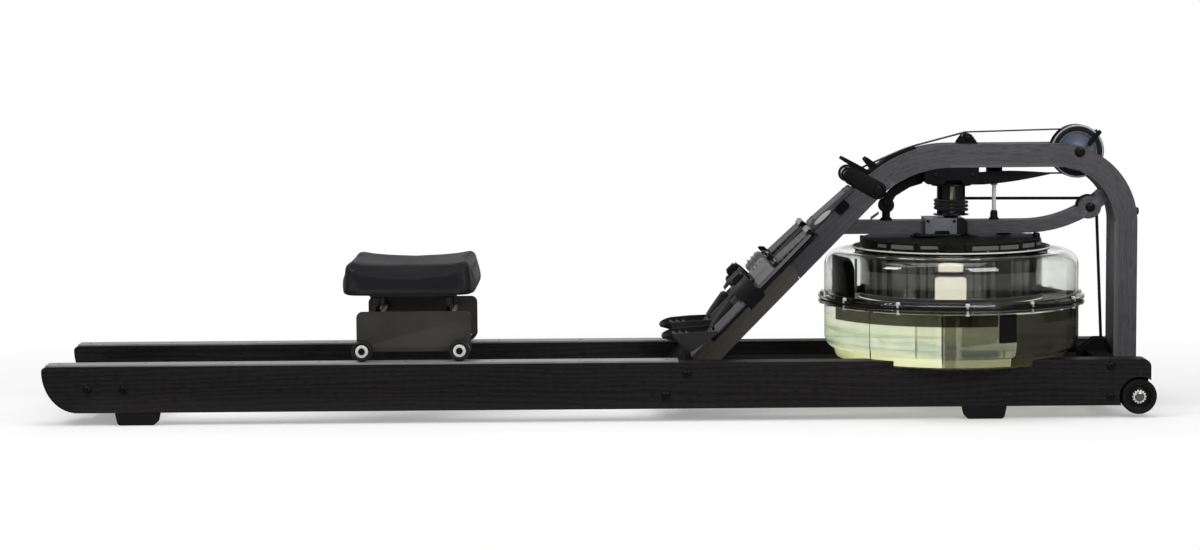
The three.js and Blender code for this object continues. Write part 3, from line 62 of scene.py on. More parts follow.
# Places that several pieces share: (x, y) of the tank's axis, and (x, z) of the pulleys and wheels
TANK_X = 690.0
TANK = (TANK_X, 0)
TOP_PULLEY, ARM_PULLEY, LOW_PULLEY = (934.0, 499.0), (958.0, 390.1), (971.0, 84.0)
GUIDE, WHEEL = (719.0, 527.0), (1026.0, 40.0)
SEAT_AXLES, SEAT_AXLE_Z, SEAT_POSTS = (-452.0, -266.0), 136.3, (-428.0, -289.0)


def on_slope(along, off, y=0.0):
    """A place on the slope: along it from the rails' top, and square off its upper face."""
    x = SLOPE_ORIGIN[0] + along * math.cos(SLOPE) - off * math.sin(SLOPE)
    z = SLOPE_ORIGIN[1] + along * math.sin(SLOPE) + off * math.cos(SLOPE)
    return Vector((x, y, z))


def slope_pairs(pairs):
    return [(p.x, p.z) for p in (on_slope(*pair) for pair in pairs)]


def span(side, inner, outer):
    """The stretch of Y between two distances from the middle, on one side."""
    return (-outer, -inner) if side < 0 else (inner, outer)


def turns(count, start=0.0):
    return [start + 2 * math.pi * k / count for k in range(count)]


# Outlines


def block(a0, a1, b0, b1):
    return [(a0, b0), (a1, b0), (a1, b1), (a0, b1)]


def arc(cx, cz, rx, start, end, steps, rz=None):
    rz = rx if rz is None else rz
    angles = [math.radians(start + (end - start) * k / steps) for k in range(steps + 1)]
    return [(cx + rx * math.cos(t), cz + rz * math.sin(t)) for t in angles]


def fillet(points, radius, steps=3):
    """Rounds the corners of an outline. radius is one number, or one for each corner."""
    count = len(points)
    radii = radius if hasattr(radius, "__len__") else [radius] * count
    made = []
    for i, here in enumerate(points):
        here = Vector(here)
        if radii[i] <= 0:
            made.append(tuple(here))
            continue
        before = Vector(points[i - 1]) - here
        after = Vector(points[(i + 1) % count]) - here
        half = before.angle(after) / 2
        reach = min(radii[i] / max(math.tan(half), 0.05), before.length * 0.48, after.length * 0.48)
        a, b = here + before.normalized() * reach, here + after.normalized() * reach
        weight = max(math.sin(half), 0.05)
        for k in range(steps + 1):
            t = k / steps
            parts = ((1 - t) ** 2, 2 * t * (1 - t) * weight, t * t)
            made.append(tuple((a * parts[0] + here * parts[1] + b * parts[2]) / sum(parts)))
    return made


def circle(radius, count):
    return [(radius * math.cos(t), radius * math.sin(t)) for t in turns(count)]


def oblong(width, height, radius, steps=2):
    return fillet(block(-width / 2, width / 2, -height / 2, height / 2), radius, steps)


def smooth_path(points, steps=5):
    """A smooth curve through the points."""
    made = []
    for i in range(len(points) - 1):
        pick = [points[min(max(i + k, 0), len(points) - 1)] for k in (-1, 0, 1, 2)]
        for k in range(steps):
            t = k / steps
            made.append(0.5 * (2 * pick[1] + (pick[2] - pick[0]) * t
                               + (2 * pick[0] - 5 * pick[1] + 4 * pick[2] - pick[3]) * t ** 2
                               + (3 * pick[1] - pick[0] - 3 * pick[2] + pick[3]) * t ** 3))
    return made + [points[-1]]


# Shapes: each is (corners, faces, lay), lay being a corner's coordinates as the material runs


def loft(rings, capped=True):
    """Joins rings of as many corners, one after the other, into one skin."""
    n = len(rings[0])
    corners = [tuple(corner) for loop in rings for corner in loop]
    faces = [(i * n + k, i * n + (k + 1) % n, (i + 1) * n + (k + 1) % n, (i + 1) * n + k)
             for i in range(len(rings) - 1) for k in range(n)]
    if capped:
        faces += [tuple(range(n)), tuple(range(len(corners) - 1, len(corners) - n - 1, -1))]
    return corners, faces, None


def prism(outline, y0, y1):
    """An outline in the XZ plane, as thick as a stretch of Y."""
    n = len(outline)
    corners = [(x, y0, z) for x, z in outline] + [(x, y1, z) for x, z in outline]
    faces = [tuple(range(n)), tuple(range(2 * n - 1, n - 1, -1))]
    faces += [(i, i + n, (i + 1) % n + n, (i + 1) % n) for i in range(n)]
    return corners, faces, None


def plate(outline, z0, z1):
    """An outline in the XY plane, as thick as a stretch of Z."""
    corners, faces, _ = prism(outline, z0, z1)
    return [(x, y, z) for x, z, y in corners], faces, None


def beam(outline, x0, x1):
    """An outline in the YZ plane, as long as a stretch of X."""
    corners, faces, _ = prism(outline, x0, x1)
    return [(x, y, z) for y, x, z in corners], faces, None


def box(x0, x1, y0, y1, z0, z1):
    return prism(block(x0, x1, z0, z1), y0, y1)


def slope_prism(pairs, y0, y1, radius=0.0, steps=2):
    return prism(slope_pairs(fillet(pairs, radius, steps) if radius else pairs), y0, y1)


def slope_box(along0, along1, off0, off1, y0, y1, radius=0.0, steps=2):
    return slope_prism(block(along0, along1, off0, off1), y0, y1, radius, steps)


def slope_loft(sections):
    """Joins outlines on the slope, each at a place across it, from side to side."""
    return loft([[on_slope(along, off, y) for along, off in pairs] for y, pairs in sections])


def lathe(profile, centre, axis, count):
    """A profile of (radius, place along the axis) pairs turned round. It closes on itself."""
    corners, faces, lay, rings = [], [], [], []
    for radius, along in profile:
        rings.append([])
        for turn in turns(count)[:count if radius > 1e-6 else 1]:
            a, b = radius * math.cos(turn), radius * math.sin(turn)
            rings[-1].append(len(corners))
            corners.append((centre[0] + a, centre[1] + b, along) if axis == "Z"
                           else (centre[0] + a, along, centre[1] + b))
            lay.append((turn * 40, along, radius))
    for i, low in enumerate(rings):
        high = rings[(i + 1) % len(rings)]
        for k in range(count):
            quad = dict.fromkeys([low[k % len(low)], low[(k + 1) % len(low)], high[(k + 1) % len(high)],
                                  high[k % len(high)]])
            if len(quad) > 2:
                faces.append(tuple(quad))
    return corners, faces, lay


def turned(points, at, axis, count, radius, steps):
    """A lathe of a rounded profile. Its corners on the axis stay sharp."""
    radii = radius if hasattr(radius, "__len__") else [radius] * len(points)
    profile = fillet(points, [r if p[0] else 0 for p, r in zip(points, radii)], steps)
    return lathe(profile, at, axis, count)


def upright(points, count=48, radius=0.5, steps=2, at=TANK):
    """A rounded profile turned round an upright axis, the tank's unless another is given."""
    return turned(points, at, "Z", count, radius, steps)


def wheel(points, at, count=48, radius=0.5, steps=2):
    """A rounded profile turned round an axis that runs across the machine."""
    return turned(points, at, "Y", count, radius, steps)


def rod(at, radius, y0, y1, count=24):
    return lathe(block(0, radius, y0, y1), at, "Y", count)


def bore(radius, z0, z1, count=32, at=TANK):
    return lathe(block(0, radius, z0, z1), at, "Z", count)


def sweep(path, section, across=None):
    """A section carried along a path and capped. across is a direction, or gives one for each place."""
    path = [Vector(p) for p in path]
    rings, lay, run, side = [], [], 0.0, None
    for i, here in enumerate(path):
        forward = (path[min(i + 1, len(path) - 1)] - path[max(i - 1, 0)]).normalized()
        if across is not None:
            side = across(i) if callable(across) else across
        elif side is None:
            side = UP if abs(forward.z) < 0.9 else ACROSS
        side = (side - forward * side.dot(forward)).normalized()
        run += (here - path[i - 1]).length if i else 0.0
        rings.append([here + side * a + forward.cross(side) * b for a, b in section])
        lay += [(run, a, b) for a, b in section]
    return (*loft(rings)[:2], lay)


def moved(shape, matrix):
    corners, faces, lay = shape
    return [tuple(matrix @ Vector(c)) for c in corners], faces, lay


def about(at, turn, axis="Z"):
    """Turns a shape made about the origin to an angle round an axis at a place."""
    place = (at[0], at[1], 0) if axis == "Z" else (at[0], 0, at[1])
    return Matrix.Translation(place) @ Matrix.Rotation(turn, 4, axis)


def merged(shapes):
    corners, faces, lay = [], [], []
    for c, f, t in shapes:
        base = len(corners)
        corners += c
        faces += [tuple(i + base for i in face) for face in f]
        lay += t if t is not None else c
    return corners, faces, lay


def socket_head(centre, direction, radius, height, recess=0.45, points=6):
    """A domed screw head with a hexagonal socket, or a cross where points is 4, on an axis."""
    direction = Vector(direction).normalized()
    side = direction.orthogonal().normalized()
    other = direction.cross(side)

    def loop(size, lift, shaped=False):
        made = []
        for k, turn in enumerate(turns(24)):
            here = size
            if shaped and points == 6:
                here = size * math.cos(math.pi / 6) / math.cos((turn % (math.pi / 3)) - math.pi / 6)
            elif shaped:
                here = size * (1.0, 0.62, 0.62, 0.38, 0.62, 0.62)[k % 6]
            made.append(Vector(centre) + (side * math.cos(turn) + other * math.sin(turn)) * here
                        + direction * lift)
        return made

    return loft([loop(radius, 0), loop(radius, height * 0.45), loop(radius * 0.9, height * 0.82),
                 loop(radius * 0.68, height), loop(radius * recess, height, True),
                 loop(radius * recess * 0.96, height * 0.25, True)])


def side_screw(at, side, reach, radius, height, recess=0.45):
    return socket_head((at[0], side * reach, at[1]), (0, side, 0), radius, height, recess)


# Making objects


@contextlib.contextmanager
def edited(mesh):
    bm = bmesh.new()
    bm.from_mesh(mesh)
    yield bm
    bm.to_mesh(mesh)
    bm.free()


def as_object(name, shape):
    corners, faces, lay = shape
    mesh = bpy.data.meshes.new(name)
    mesh.from_pydata([Vector(c) * MM for c in corners], [], faces)
    made = bpy.data.objects.new(name, mesh)
    bpy.context.scene.collection.objects.link(made)
    if lay is not None:
        store_lay(mesh, lay)
    with edited(mesh) as bm:
        bmesh.ops.recalc_face_normals(bm, faces=bm.faces)
    return made


def store_lay(mesh, values):
    attribute = mesh.attributes.get("lay") or mesh.attributes.new("lay", "FLOAT_VECTOR", "POINT")
    attribute.data.foreach_set("vector", (np.array(values, float) * MM).astype(np.float32).ravel())


def bake_modifiers(made):
    depsgraph = bpy.context.evaluated_depsgraph_get()
    old = made.data
    mesh = bpy.data.meshes.new_from_object(made.evaluated_get(depsgraph))
    made.modifiers.clear()
    made.data = mesh
    bpy.data.meshes.remove(old)


def boolean(made, shapes, operation):
    tools = [as_object("tool", shape) for shape in shapes]
    for tool in tools:
        step = made.modifiers.new("cut", "BOOLEAN")
        step.object, step.operation, step.solver = tool, operation, "EXACT"
    bake_modifiers(made)
    for tool in tools:
        mesh = tool.data
        bpy.data.objects.remove(tool)
        bpy.data.meshes.remove(mesh)


def round_edges(made, width, steps, angle):
    merge = 0.02 * MM
    with edited(made.data) as bm:
        bmesh.ops.remove_doubles(bm, verts=bm.verts, dist=merge)
        bmesh.ops.dissolve_degenerate(bm, edges=bm.edges, dist=merge)
        if width:
            sharp = [e for e in bm.edges if len(e.link_faces) == 2 and e.calc_face_angle() > angle]
            bmesh.ops.bevel(bm, geom=sharp, offset=width * MM, segments=steps, profile=0.5,
                            affect="EDGES", clamp_overlap=True)


def shade(made, angle, weighted=False):
    """Smooth shading that breaks at the edges sharper than the angle, in degrees."""
    with edited(made.data) as bm:
        for face in bm.faces:
            face.smooth = True
        for edge in bm.edges:
            edge.smooth = len(edge.link_faces) == 2 and edge.calc_face_angle() < math.radians(angle)
    if weighted:
        made.modifiers.new("even", "WEIGHTED_NORMAL").keep_sharp = True


def dress(made, look, body, stands_for):
    made.data.materials.clear()
    made.data.materials.append(look)
    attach(made, body)
    if stands_for:
        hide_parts(stands_for)


def piece(name, shapes, look, stands_for="", body="root", edge=0.0, steps=3, joins=(), cuts=(),
          grain=None, angle=42.0, sharp=35.0):
    """One finished piece: its shapes, joined and cut, with rounded edges and a material.

    stands_for is the solid that it replaces. grain gives the lay of a corner from its place.
    """
    shapes = [shapes] if isinstance(shapes, tuple) else list(shapes)
    made = as_object(name, merged(shapes) if len(shapes) > 1 else shapes[0])
    if joins:
        boolean(made, joins, "UNION")
    if cuts:
        boolean(made, cuts, "DIFFERENCE")
    if edge or cuts or joins:
        round_edges(made, edge, steps, math.radians(sharp))
    if grain is not None or "lay" not in made.data.attributes:
        grain = grain or tuple
        store_lay(made.data, [tuple(grain(v.co / MM)) for v in made.data.vertices])
    shade(made, angle, weighted=bool(edge))
    dress(made, look, body, stands_for)


# Materials


def rgb(*values):
    """sRGB values of 0 to 255, or one for a grey, as linear light."""
    shares = [value / 255 for value in (values if len(values) == 3 else values * 3)]
    return tuple(s / 12.92 if s <= 0.04045 else ((s + 0.055) / 1.055) ** 2.4 for s in shares)


def toned(colour, by, plus=0.0):
    """A colour made lighter or darker, with its alpha."""
    return (*[min(c * by + plus, 1.0) for c in colour], 1.0)


class Nodes:
    """Short ways to add shader nodes. An input takes a value or another node's output."""

    def __init__(self, owner):
        owner.use_nodes = True
        self.tree = owner.node_tree

    def fill(self, sockets, values):
        for key, value in values.items():
            if isinstance(value, bpy.types.NodeSocket):
                self.tree.links.new(value, sockets[key])
            else:
                sockets[key].default_value = value

    def node(self, kind, inputs=None, **settings):
        made = self.tree.nodes.new("ShaderNode" + kind)
        for key, value in settings.items():
            setattr(made, key, value)
        self.fill(made.inputs, inputs or {})
        return made

    def math(self, operation, *values, clamp=False):
        return self.node("Math", dict(enumerate(values)), operation=operation, use_clamp=clamp).outputs[0]

    def madd(self, value, by, plus):
        return self.math("MULTIPLY_ADD", value, by, plus)

    def sine(self, value):
        return self.math("SINE", value)

    def scaled(self, vector, *scale):
        return self.node("VectorMath", {0: vector, 1: scale}, operation="MULTIPLY").outputs[0]

    def graded(self, value, from_min, from_max, to_min=0.0, to_max=1.0, kind="SMOOTHSTEP"):
        return self.node("MapRange", {"Value": value, "From Min": from_min, "From Max": from_max,
                                      "To Min": to_min, "To Max": to_max},
                         interpolation_type=kind).outputs["Result"]

    def blended(self, factor, a, b):
        return self.node("MixShader", {0: factor, 1: a, 2: b}).outputs[0]

    def place(self):
        return self.node("TexCoord").outputs["Object"]


class Look(Nodes):
    """A Principled material."""

    def __init__(self, name, colour, **sockets):
        self.material = bpy.data.materials.new(name)
        super().__init__(self.material)
        self.set(Base_Color=(*colour, 1.0), **sockets)

    def set(self, **sockets):
        self.fill(self.tree.nodes["Principled BSDF"].inputs,
                  {key.replace("_", " "): value for key, value in sockets.items()})

    def finish(self, body, gloss, height, distance, strength=1.0):
        """Sets the colour, the roughness and the bumps, whose depth is in millimetres."""
        bump = self.node("Bump", {"Height": height, "Distance": distance * MM, "Strength": strength})
        self.set(Base_Color=body, Roughness=gloss, Normal=bump.outputs["Normal"])
        return self.material

    def laid(self):
        return self.node("Attribute", attribute_name="lay").outputs["Vector"]

    def parts(self, vector):
        return self.node("SeparateXYZ", {0: vector}).outputs

    def mix(self, factor, a, b):
        return self.node("Mix", {0: factor, 6: a, 7: b}, data_type="RGBA").outputs[2]

    def ramp(self, value, *stops):
        """Stops of (place, grey) or (place, colour with its alpha)."""
        made = self.node("ValToRGB", {"Fac": value})
        elements = made.color_ramp.elements
        while len(elements) < len(stops):
            elements.new(0.5)
        for element, (place, shown) in zip(elements, stops):
            element.position = place
            element.color = shown if hasattr(shown, "__len__") else (shown, shown, shown, 1.0)
        return made.outputs["Color"]

    def noise(self, vector, scale, detail=2.0, roughness=0.5, distortion=0.0):
        return self.node("TexNoise", {"Vector": vector, "Scale": scale, "Detail": detail,
                                      "Roughness": roughness, "Distortion": distortion}).outputs["Fac"]

    def edge_highlit(self, share, body, lit_colour):
        """The body colour, painted towards another along the sharp edges: a painted edge highlight."""
        pointed = self.node("NewGeometry").outputs["Pointiness"]
        edges = self.graded(pointed, 0.52, 0.6, kind="LINEAR")
        return self.mix(self.math("MULTIPLY", edges, share), body, lit_colour)


def wood(name, dark, light, rough=0.5, specular=0.14, lines=620.0, figured=0.03, pit=0.5):
    """Stained open-grained wood: wavy figure, fine fibres and dark pores along the first axis of lay."""
    look = Look(name, light, IOR=1.45, Specular_IOR_Level=specular)
    laid = look.laid()
    parts = look.parts(laid)
    wave = look.noise(look.scaled(laid, 1.5, 10.0, 13.0), 1.0)
    phase = look.madd(parts["Z"], lines, look.math("MULTIPLY", parts["Y"], lines * 0.55))
    rings = look.sine(look.madd(wave, 34.0, phase))
    fibre = look.noise(look.scaled(laid, 16.0, 520.0, 520.0), 1.0, 3.0, 0.6)
    pores = look.noise(look.scaled(laid, 55.0, 1500.0, 1500.0), 1.0)
    drift = look.noise(look.scaled(laid, 2.2, 6.0, 6.0), 1.0)
    figure = look.madd(rings, figured, look.madd(fibre, 0.6, 0.2))
    figure = look.madd(look.math("SUBTRACT", drift, 0.5), 0.4, figure)
    middle = [0.45 * d + 0.55 * s for d, s in zip(dark, light)]
    colour = look.ramp(figure, (0.22, toned(dark, 1)), (0.5, toned(middle, 1)), (0.8, toned(light, 1)))
    pits = look.ramp(pores, (0.36, 0.0), (0.47, 1.0))
    # The sharp edges are painted lighter here: a painted highlight.
    body = look.edge_highlit(0.3, look.mix(pits, toned(dark, pit), colour), toned(light, 1.8))
    gloss = look.madd(fibre, 0.16, look.madd(rings, 0.03, rough - 0.08))
    height = look.madd(pits, 0.6, look.madd(fibre, 0.35, look.math("MULTIPLY", rings, 0.09)))
    return look.finish(body, gloss, height, 0.25, 0.8)


def plastic(name, colour, rough=0.5, specular=0.2, grain=900.0, depth=0.05, variation=0.18, **sockets):
    """Moulded plastic or rubber: fine grain, faint clouding, and edges painted a little lighter as a
    painted highlight.
    """
    look = Look(name, colour, Specular_IOR_Level=specular, **sockets)
    place = look.place()
    cloud = look.noise(place, 14.0, 3.0)
    body = look.ramp(cloud, (0.3, toned(colour, 1 - variation)), (0.7, toned(colour, 1 + variation)))
    fine = look.noise(place, grain, 2.0, 0.6)
    gloss = look.madd(cloud, 0.12, look.madd(fine, 0.08, rough - 0.1))
    # The sharp edges are painted lighter here: a painted highlight.
    return look.finish(look.edge_highlit(0.4, body, toned(colour, 2.0, 0.006)), gloss, fine, depth)


def metal(name, colour, rough=0.25, metallic=1.0, brushed=(1.0, 60.0, 1.0), depth=0.01, **sockets):
    """Turned or drawn metal: fine marks that follow the way it was worked."""
    look = Look(name, colour, Metallic=metallic, **sockets)
    marks = look.noise(look.scaled(look.laid(), *[b * 30 for b in brushed]), 1.0, 3.0, 0.6)
    cloud = look.noise(look.place(), 25.0)
    body = look.ramp(cloud, (0.3, toned(colour, 0.86)), (0.7, toned(colour, 1.06)))
    gloss = look.madd(marks, 0.2, look.madd(cloud, 0.1, rough - 0.14))
    return look.finish(body, gloss, marks, depth)


def woven(name, colour, pitch, ribs):
    """Webbing or braid: warp and weft over and under each other, with heavier ribs where set, and painted
    shade where the threads sink.
    """
    look = Look(name, colour, Specular_IOR_Level=0.2, Sheen_Weight=0.25, Sheen_Roughness=0.4)
    laid = look.laid()
    parts = look.parts(laid)
    turn = 2 * math.pi / (pitch * MM)
    along = look.sine(look.math("MULTIPLY", parts["X"], turn))
    over = look.sine(look.madd(parts["Y"], turn * 0.7, look.math("MULTIPLY", parts["X"], turn * 0.5)))
    rib = look.sine(look.math("MULTIPLY", parts["Y"], 2 * math.pi / (3.4 * MM)))
    height = look.madd(rib, ribs, look.math("MULTIPLY", along, over))
    fuzz = look.noise(laid, 2600.0)
    # Painted shade: the colour darkens where the weave sinks, with random fuzz on top.
    painted_thread_shade = look.madd(height, 0.22, look.madd(fuzz, 0.5, 0.25))
    body = look.ramp(painted_thread_shade, (0.2, toned(colour, 0.5)), (0.8, toned(colour, 1.8)))
    return look.finish(body, look.madd(fuzz, 0.2, 0.75), height, 0.18)


def leather(name, colour, rough, specular, sheen):
    """Moulded skin with a fine leather grain, painted shade in the grain's valleys, and soft creases."""
    look = Look(name, colour, Specular_IOR_Level=specular, Sheen_Weight=sheen, Sheen_Roughness=0.5)
    place = look.place()
    swirl = look.node("TexNoise", {"Vector": place, "Scale": 160.0}).outputs["Color"]
    warped = look.node("VectorMath", {0: place, 1: look.scaled(swirl, 0.003, 0.003, 0.003)},
                       operation="ADD").outputs[0]
    cells = look.node("TexVoronoi", {"Vector": warped, "Scale": 520.0}, feature="DISTANCE_TO_EDGE")
    pebbles = look.ramp(cells.outputs["Distance"], (0.0, 0.0), (0.22, 1.0))
    fine = look.noise(place, 1400.0)
    cloud = look.noise(place, 9.0, 4.0)
    body = look.ramp(cloud, (0.3, toned(colour, 0.8)), (0.7, toned(colour, 1.25)))
    # The grain's valleys are painted darker: painted shade.
    body = look.mix(pebbles, toned(colour, 0.6), body)
    gloss = look.madd(cloud, 0.16, look.madd(pebbles, -0.06, rough))
    return look.finish(body, gloss, look.madd(pebbles, 0.7, look.math("MULTIPLY", fine, 0.4)), 0.06)


def clear(name, colour, rough, ior=1.45, cloudy=60.0, ripple=0.0, through=1.0, painted_glow=(), **sockets):
    """Clear moulded plastic or water, with faint flow marks, fine haze and a painted glow by height."""
    look = Look(name, colour, Transmission_Weight=through, IOR=ior, **sockets)
    place = look.place()
    flow = look.noise(look.scaled(place, 1.0, 1.0, 0.35), cloudy, 3.0, 0.5, 0.6)
    body = look.ramp(flow, (0.25, toned(colour, 0.94)), (0.75, toned(colour, 1.03)))
    gloss = look.madd(look.noise(place, 380.0), 0.03, rough)
    if painted_glow:
        # Painted light: emission in lighter and darker bands by height, though the thing is no lamp.
        swing = look.noise(look.scaled(place, 1.0, 1.0, 4.0), 5.0, 2.0, 0.5, 0.4)
        height = look.madd(look.math("SUBTRACT", swing, 0.5), 0.09, look.parts(place)["Z"])
        look.set(Emission_Color=look.ramp(look.math("MULTIPLY", height, 5.0),
                                          *[(stop, toned(shown, 1)) for stop, shown in painted_glow]))
    return look.finish(body, gloss, flow, 0.1 + ripple, 0.5)


FINE = (1.0, 3.0, 3.0)
TURNED = (2.0, 20.0, 2.0)
rail_wood = wood("rail_wood", rgb(14, 13, 14), rgb(38, 36, 38), rough=0.46, figured=0.1)
arch_wood = wood("arch_wood", rgb(63, 62, 64), rgb(84, 83, 86), lines=520.0, pit=0.82)
foot_wood = wood("foot_wood", rgb(72, 71, 66), rgb(92, 90, 84), rough=0.52, pit=0.82)
cross_wood = wood("cross_wood", rgb(14, 13, 14), rgb(30, 28, 30), rough=0.7, specular=0.02, figured=0.07)
track_grey = metal("track_grey", rgb(132, 132, 134), rough=0.36, metallic=0.2, brushed=(1.0, 40.0, 40.0),
                   Specular_IOR_Level=0.4)
rubber = plastic("rubber", rgb(22), rough=0.8, specular=0.12, grain=700.0, depth=0.08)
black_plastic = plastic("black_plastic", rgb(14, 14, 15), specular=0.1)
gloss_plastic = plastic("gloss_plastic", rgb(10, 10, 11), rough=0.3, specular=0.4, depth=0.02)
foot_dark = plastic("foot_dark", rgb(12, 12, 13), specular=0.16)
heel_grey = plastic("heel_grey", rgb(40, 40, 41), rough=0.55, specular=0.16, grain=1200.0, depth=0.07)
sole_grey = plastic("sole_grey", rgb(84), variation=0.1)
cover_grey = plastic("cover_grey", rgb(72, 72, 75), grain=1200.0, depth=0.07, variation=0.1)
slider_grey = plastic("slider_grey", rgb(62), specular=0.15, variation=0.1)
flap_grey = plastic("flap_grey", rgb(92), rough=0.45, specular=0.4, variation=0.12)
heel_pad = leather("heel_pad", rgb(12), rough=0.6, specular=0.15, sheen=0.04)
seat_skin = leather("seat_skin", rgb(26, 26, 29), rough=0.46, specular=0.25, sheen=0.02)
block_grey = metal("block_grey", rgb(112, 114, 122), rough=0.42, metallic=0.3, brushed=(6.0, 6.0, 1.0))
dark_steel = plastic("dark_steel", rgb(30, 30, 32), rough=0.42, specular=0.35, Metallic=0.2)
plate_steel = plastic("plate_steel", rgb(52, 51, 48), rough=0.45, specular=0.25, grain=1300.0)
bolt_black = metal("bolt_black", rgb(34, 34, 36), rough=0.34, metallic=0.7, brushed=(4.0, 4.0, 4.0))
bright_steel = metal("bright_steel", rgb(190), rough=0.24, brushed=(1.0, 1.0, 20.0))
chrome = metal("chrome", rgb(222, 222, 224), rough=0.12, brushed=FINE, depth=0.003)
dark_chrome = metal("dark_chrome", rgb(96, 96, 98), rough=0.14, brushed=FINE, depth=0.003)
hub_bright = metal("hub_bright", rgb(222, 222, 216), rough=0.3, metallic=0.15, brushed=TURNED)
# Pale rings on the pulley rim's edges: partly silver trim, partly a painted edge highlight.
edge_silver_and_highlight = metal("edge_silver_and_highlight", rgb(166, 168, 172), rough=0.3, metallic=0.2, brushed=TURNED)
disc_slate = plastic("disc_slate", rgb(92, 99, 116), rough=0.25, specular=0.4, depth=0.01)
disc_rim = plastic("disc_rim", rgb(20, 21, 24), rough=0.3, specular=0.4, depth=0.01)
tyre = plastic("tyre", rgb(18), rough=0.62, grain=600.0)
seat_tyre = plastic("seat_tyre", rgb(26), rough=0.42, specular=0.4, grain=600.0, depth=0.02)
webbing = woven("webbing", rgb(12, 12, 13), pitch=1.3, ribs=0.5)
cord_look = woven("cord_look", rgb(12), pitch=1.7, ribs=0.0)
foam = plastic("foam", rgb(16), rough=0.9, specular=0.06, grain=420.0, depth=0.22)
tank_clear = clear("tank_clear", (0.90, 0.915, 0.885), 0.015)
tank_smoke = clear("tank_smoke", (0.24, 0.238, 0.22), 0.05, cloudy=40.0)
# Near-black for the tank's inner parts, and for a sheet that paints shade into the tank.
inner_dark_and_shade = plastic("inner_dark_and_shade", rgb(9, 9, 8), rough=0.4, specular=0.12, depth=0.01)
# Tinted sheets laid on the bowl: painted shade, darker or olive.
shade_film_olive, shade_film_deep, shade_film_dark = (
    clear(name, colour, 0.05, ior=1.1, cloudy=30.0)
    for name, colour in (("shade_film_olive", (0.36, 0.345, 0.325)), ("shade_film_deep", (0.10, 0.095, 0.078)),
                         ("shade_film_dark", (0.055, 0.05, 0.052))))
paddle_clear = clear("paddle_clear", (0.86, 0.88, 0.84), 0.04, ior=1.06, cloudy=40.0)
# The water glows by emission: painted light in bands by height.
water_look = clear(
    "water_look", (0.93, 0.95, 0.78), 0.0, ior=1.333, cloudy=16.0, ripple=0.5, through=0.72,
    painted_glow=[(0.52, (0.86, 0.88, 0.42)), (0.59, (0.98, 0.98, 0.66)), (0.66, (0.50, 0.60, 0.52)),
          (0.72, (0.24, 0.34, 0.34)), (0.77, (0.66, 0.74, 0.58)), (0.90, (0.92, 0.95, 0.66))],
    Emission_Strength=0.27)
lid_dark = plastic("lid_dark", rgb(20, 20, 19), rough=0.6, specular=0.06, depth=0.02)
lid_pale = plastic("lid_pale", rgb(84, 85, 83), rough=0.3, specular=0.5, depth=0.01, variation=0.08)
rim_pale = plastic("rim_pale", rgb(190, 191, 188), rough=0.3, specular=0.5, depth=0.01, variation=0.05)
cream = plastic("cream", rgb(206, 202, 182), rough=0.4, specular=0.3, variation=0.12)
# The sleeve glows by emission though it is no lamp: painted light that shows it bright through the smoked
# skirt.
sleeve_cream_painted_glow = plastic("sleeve_cream_painted_glow", rgb(228, 226, 208), rough=0.4, specular=0.4, variation=0.05,
                       Emission_Color=(0.80, 0.78, 0.70, 1.0), Emission_Strength=4.6)
badge = plastic("badge", rgb(176, 176, 172), rough=0.35, specular=0.5, variation=0.06)


# Base

RAIL_IN, RAIL_OUT, RAIL_TOP = 145.0, 190.0, 112.0
REAR_BOLTS = [(-973.0, 69.0), (-904.0, 69.0)]
FOOT_BOLTS = slope_pairs([(-87, 0), (-29, 0)])
FRONT_BOLTS = [(971.0, 41.0), (971.0, 100.0)]


def rails():
    outline = [(1048, 24), *arc(1033, 97, 15, 0, 90, 8), *arc(-1052, 104, 8, 90, 180, 6),
               *arc(-992, 104, 68, 180, 270, 28, 80)]
    for name, side in SIDES:
        y0, y1 = span(side, RAIL_IN, RAIL_OUT)
        notch = bore(231, 97.7, 130, 128)
        pocket = rod(WHEEL, 38, *span(side, 162.2, 200), 64)
        holes = [rod(at, 4.3, y0 - 5, y1 + 5, 16) for at in REAR_BOLTS + FOOT_BOLTS + FRONT_BOLTS]
        piece(f"rail_{name}_board", prism(outline, y0, y1), rail_wood, f"rail_{name}", edge=2.2,
              cuts=[notch, pocket, *holes], grain=tuple)
        piece(f"axle_bolt_{name}", [rod(WHEEL, 6, *span(side, 158, 190)),
                                    side_screw(WHEEL, side, 189.3, 9, 2.9, 0.42)], bright_steel)
        piece(f"track_{name}_strip", box(-1052, 150, *span(side, 146, 189), 112.3, 116), track_grey,
              f"track_{name}", edge=0.8, grain=tuple)
        piece(f"track_screws_{name}", [socket_head((x, side * 167.5, 115.2), UP, 3.6, 1.0, 0.5, 4)
                                       for x in np.linspace(-1030, 128, 8)], dark_steel)
    for place, bolts in (("rear", REAR_BOLTS), ("foot", FOOT_BOLTS), ("front", FRONT_BOLTS)):
        for i, at in enumerate(bolts):
            for name, side in SIDES:
                piece(f"{place}_bolt_{i}_{name}", [
                    side_screw(at, side, 190.4, 7.0, 3.9),
                    wheel(block(3.8, 8.6, side * 190.2, side * 191.2), at, 28, 0.3, 1),
                    rod(at, 3.8, *span(side, 130, 191.5), 12)], bolt_black)


def floor_pads():
    for place, x in (("rear", -881.0), ("front", 733.0)):
        outline = fillet([(x - 36, 0), (x + 36, 0), (x + 41, 23.7), (x - 41, 23.7)], [7, 7, 1.5, 1.5], 5)
        for name, side in SIDES:
            y0, y1 = span(side, RAIL_IN + 1, RAIL_OUT - 1)
            grooves = [box(x - 40, x + 40, y - 1, y + 1, -1, 1.2) for y in np.linspace(y0 + 7, y1 - 7, 5)]
            piece(f"pad_{place}_{name}_foot", prism(outline, y0, y1), rubber, f"pad_{place}_{name}",
                  edge=1.6, cuts=grooves)


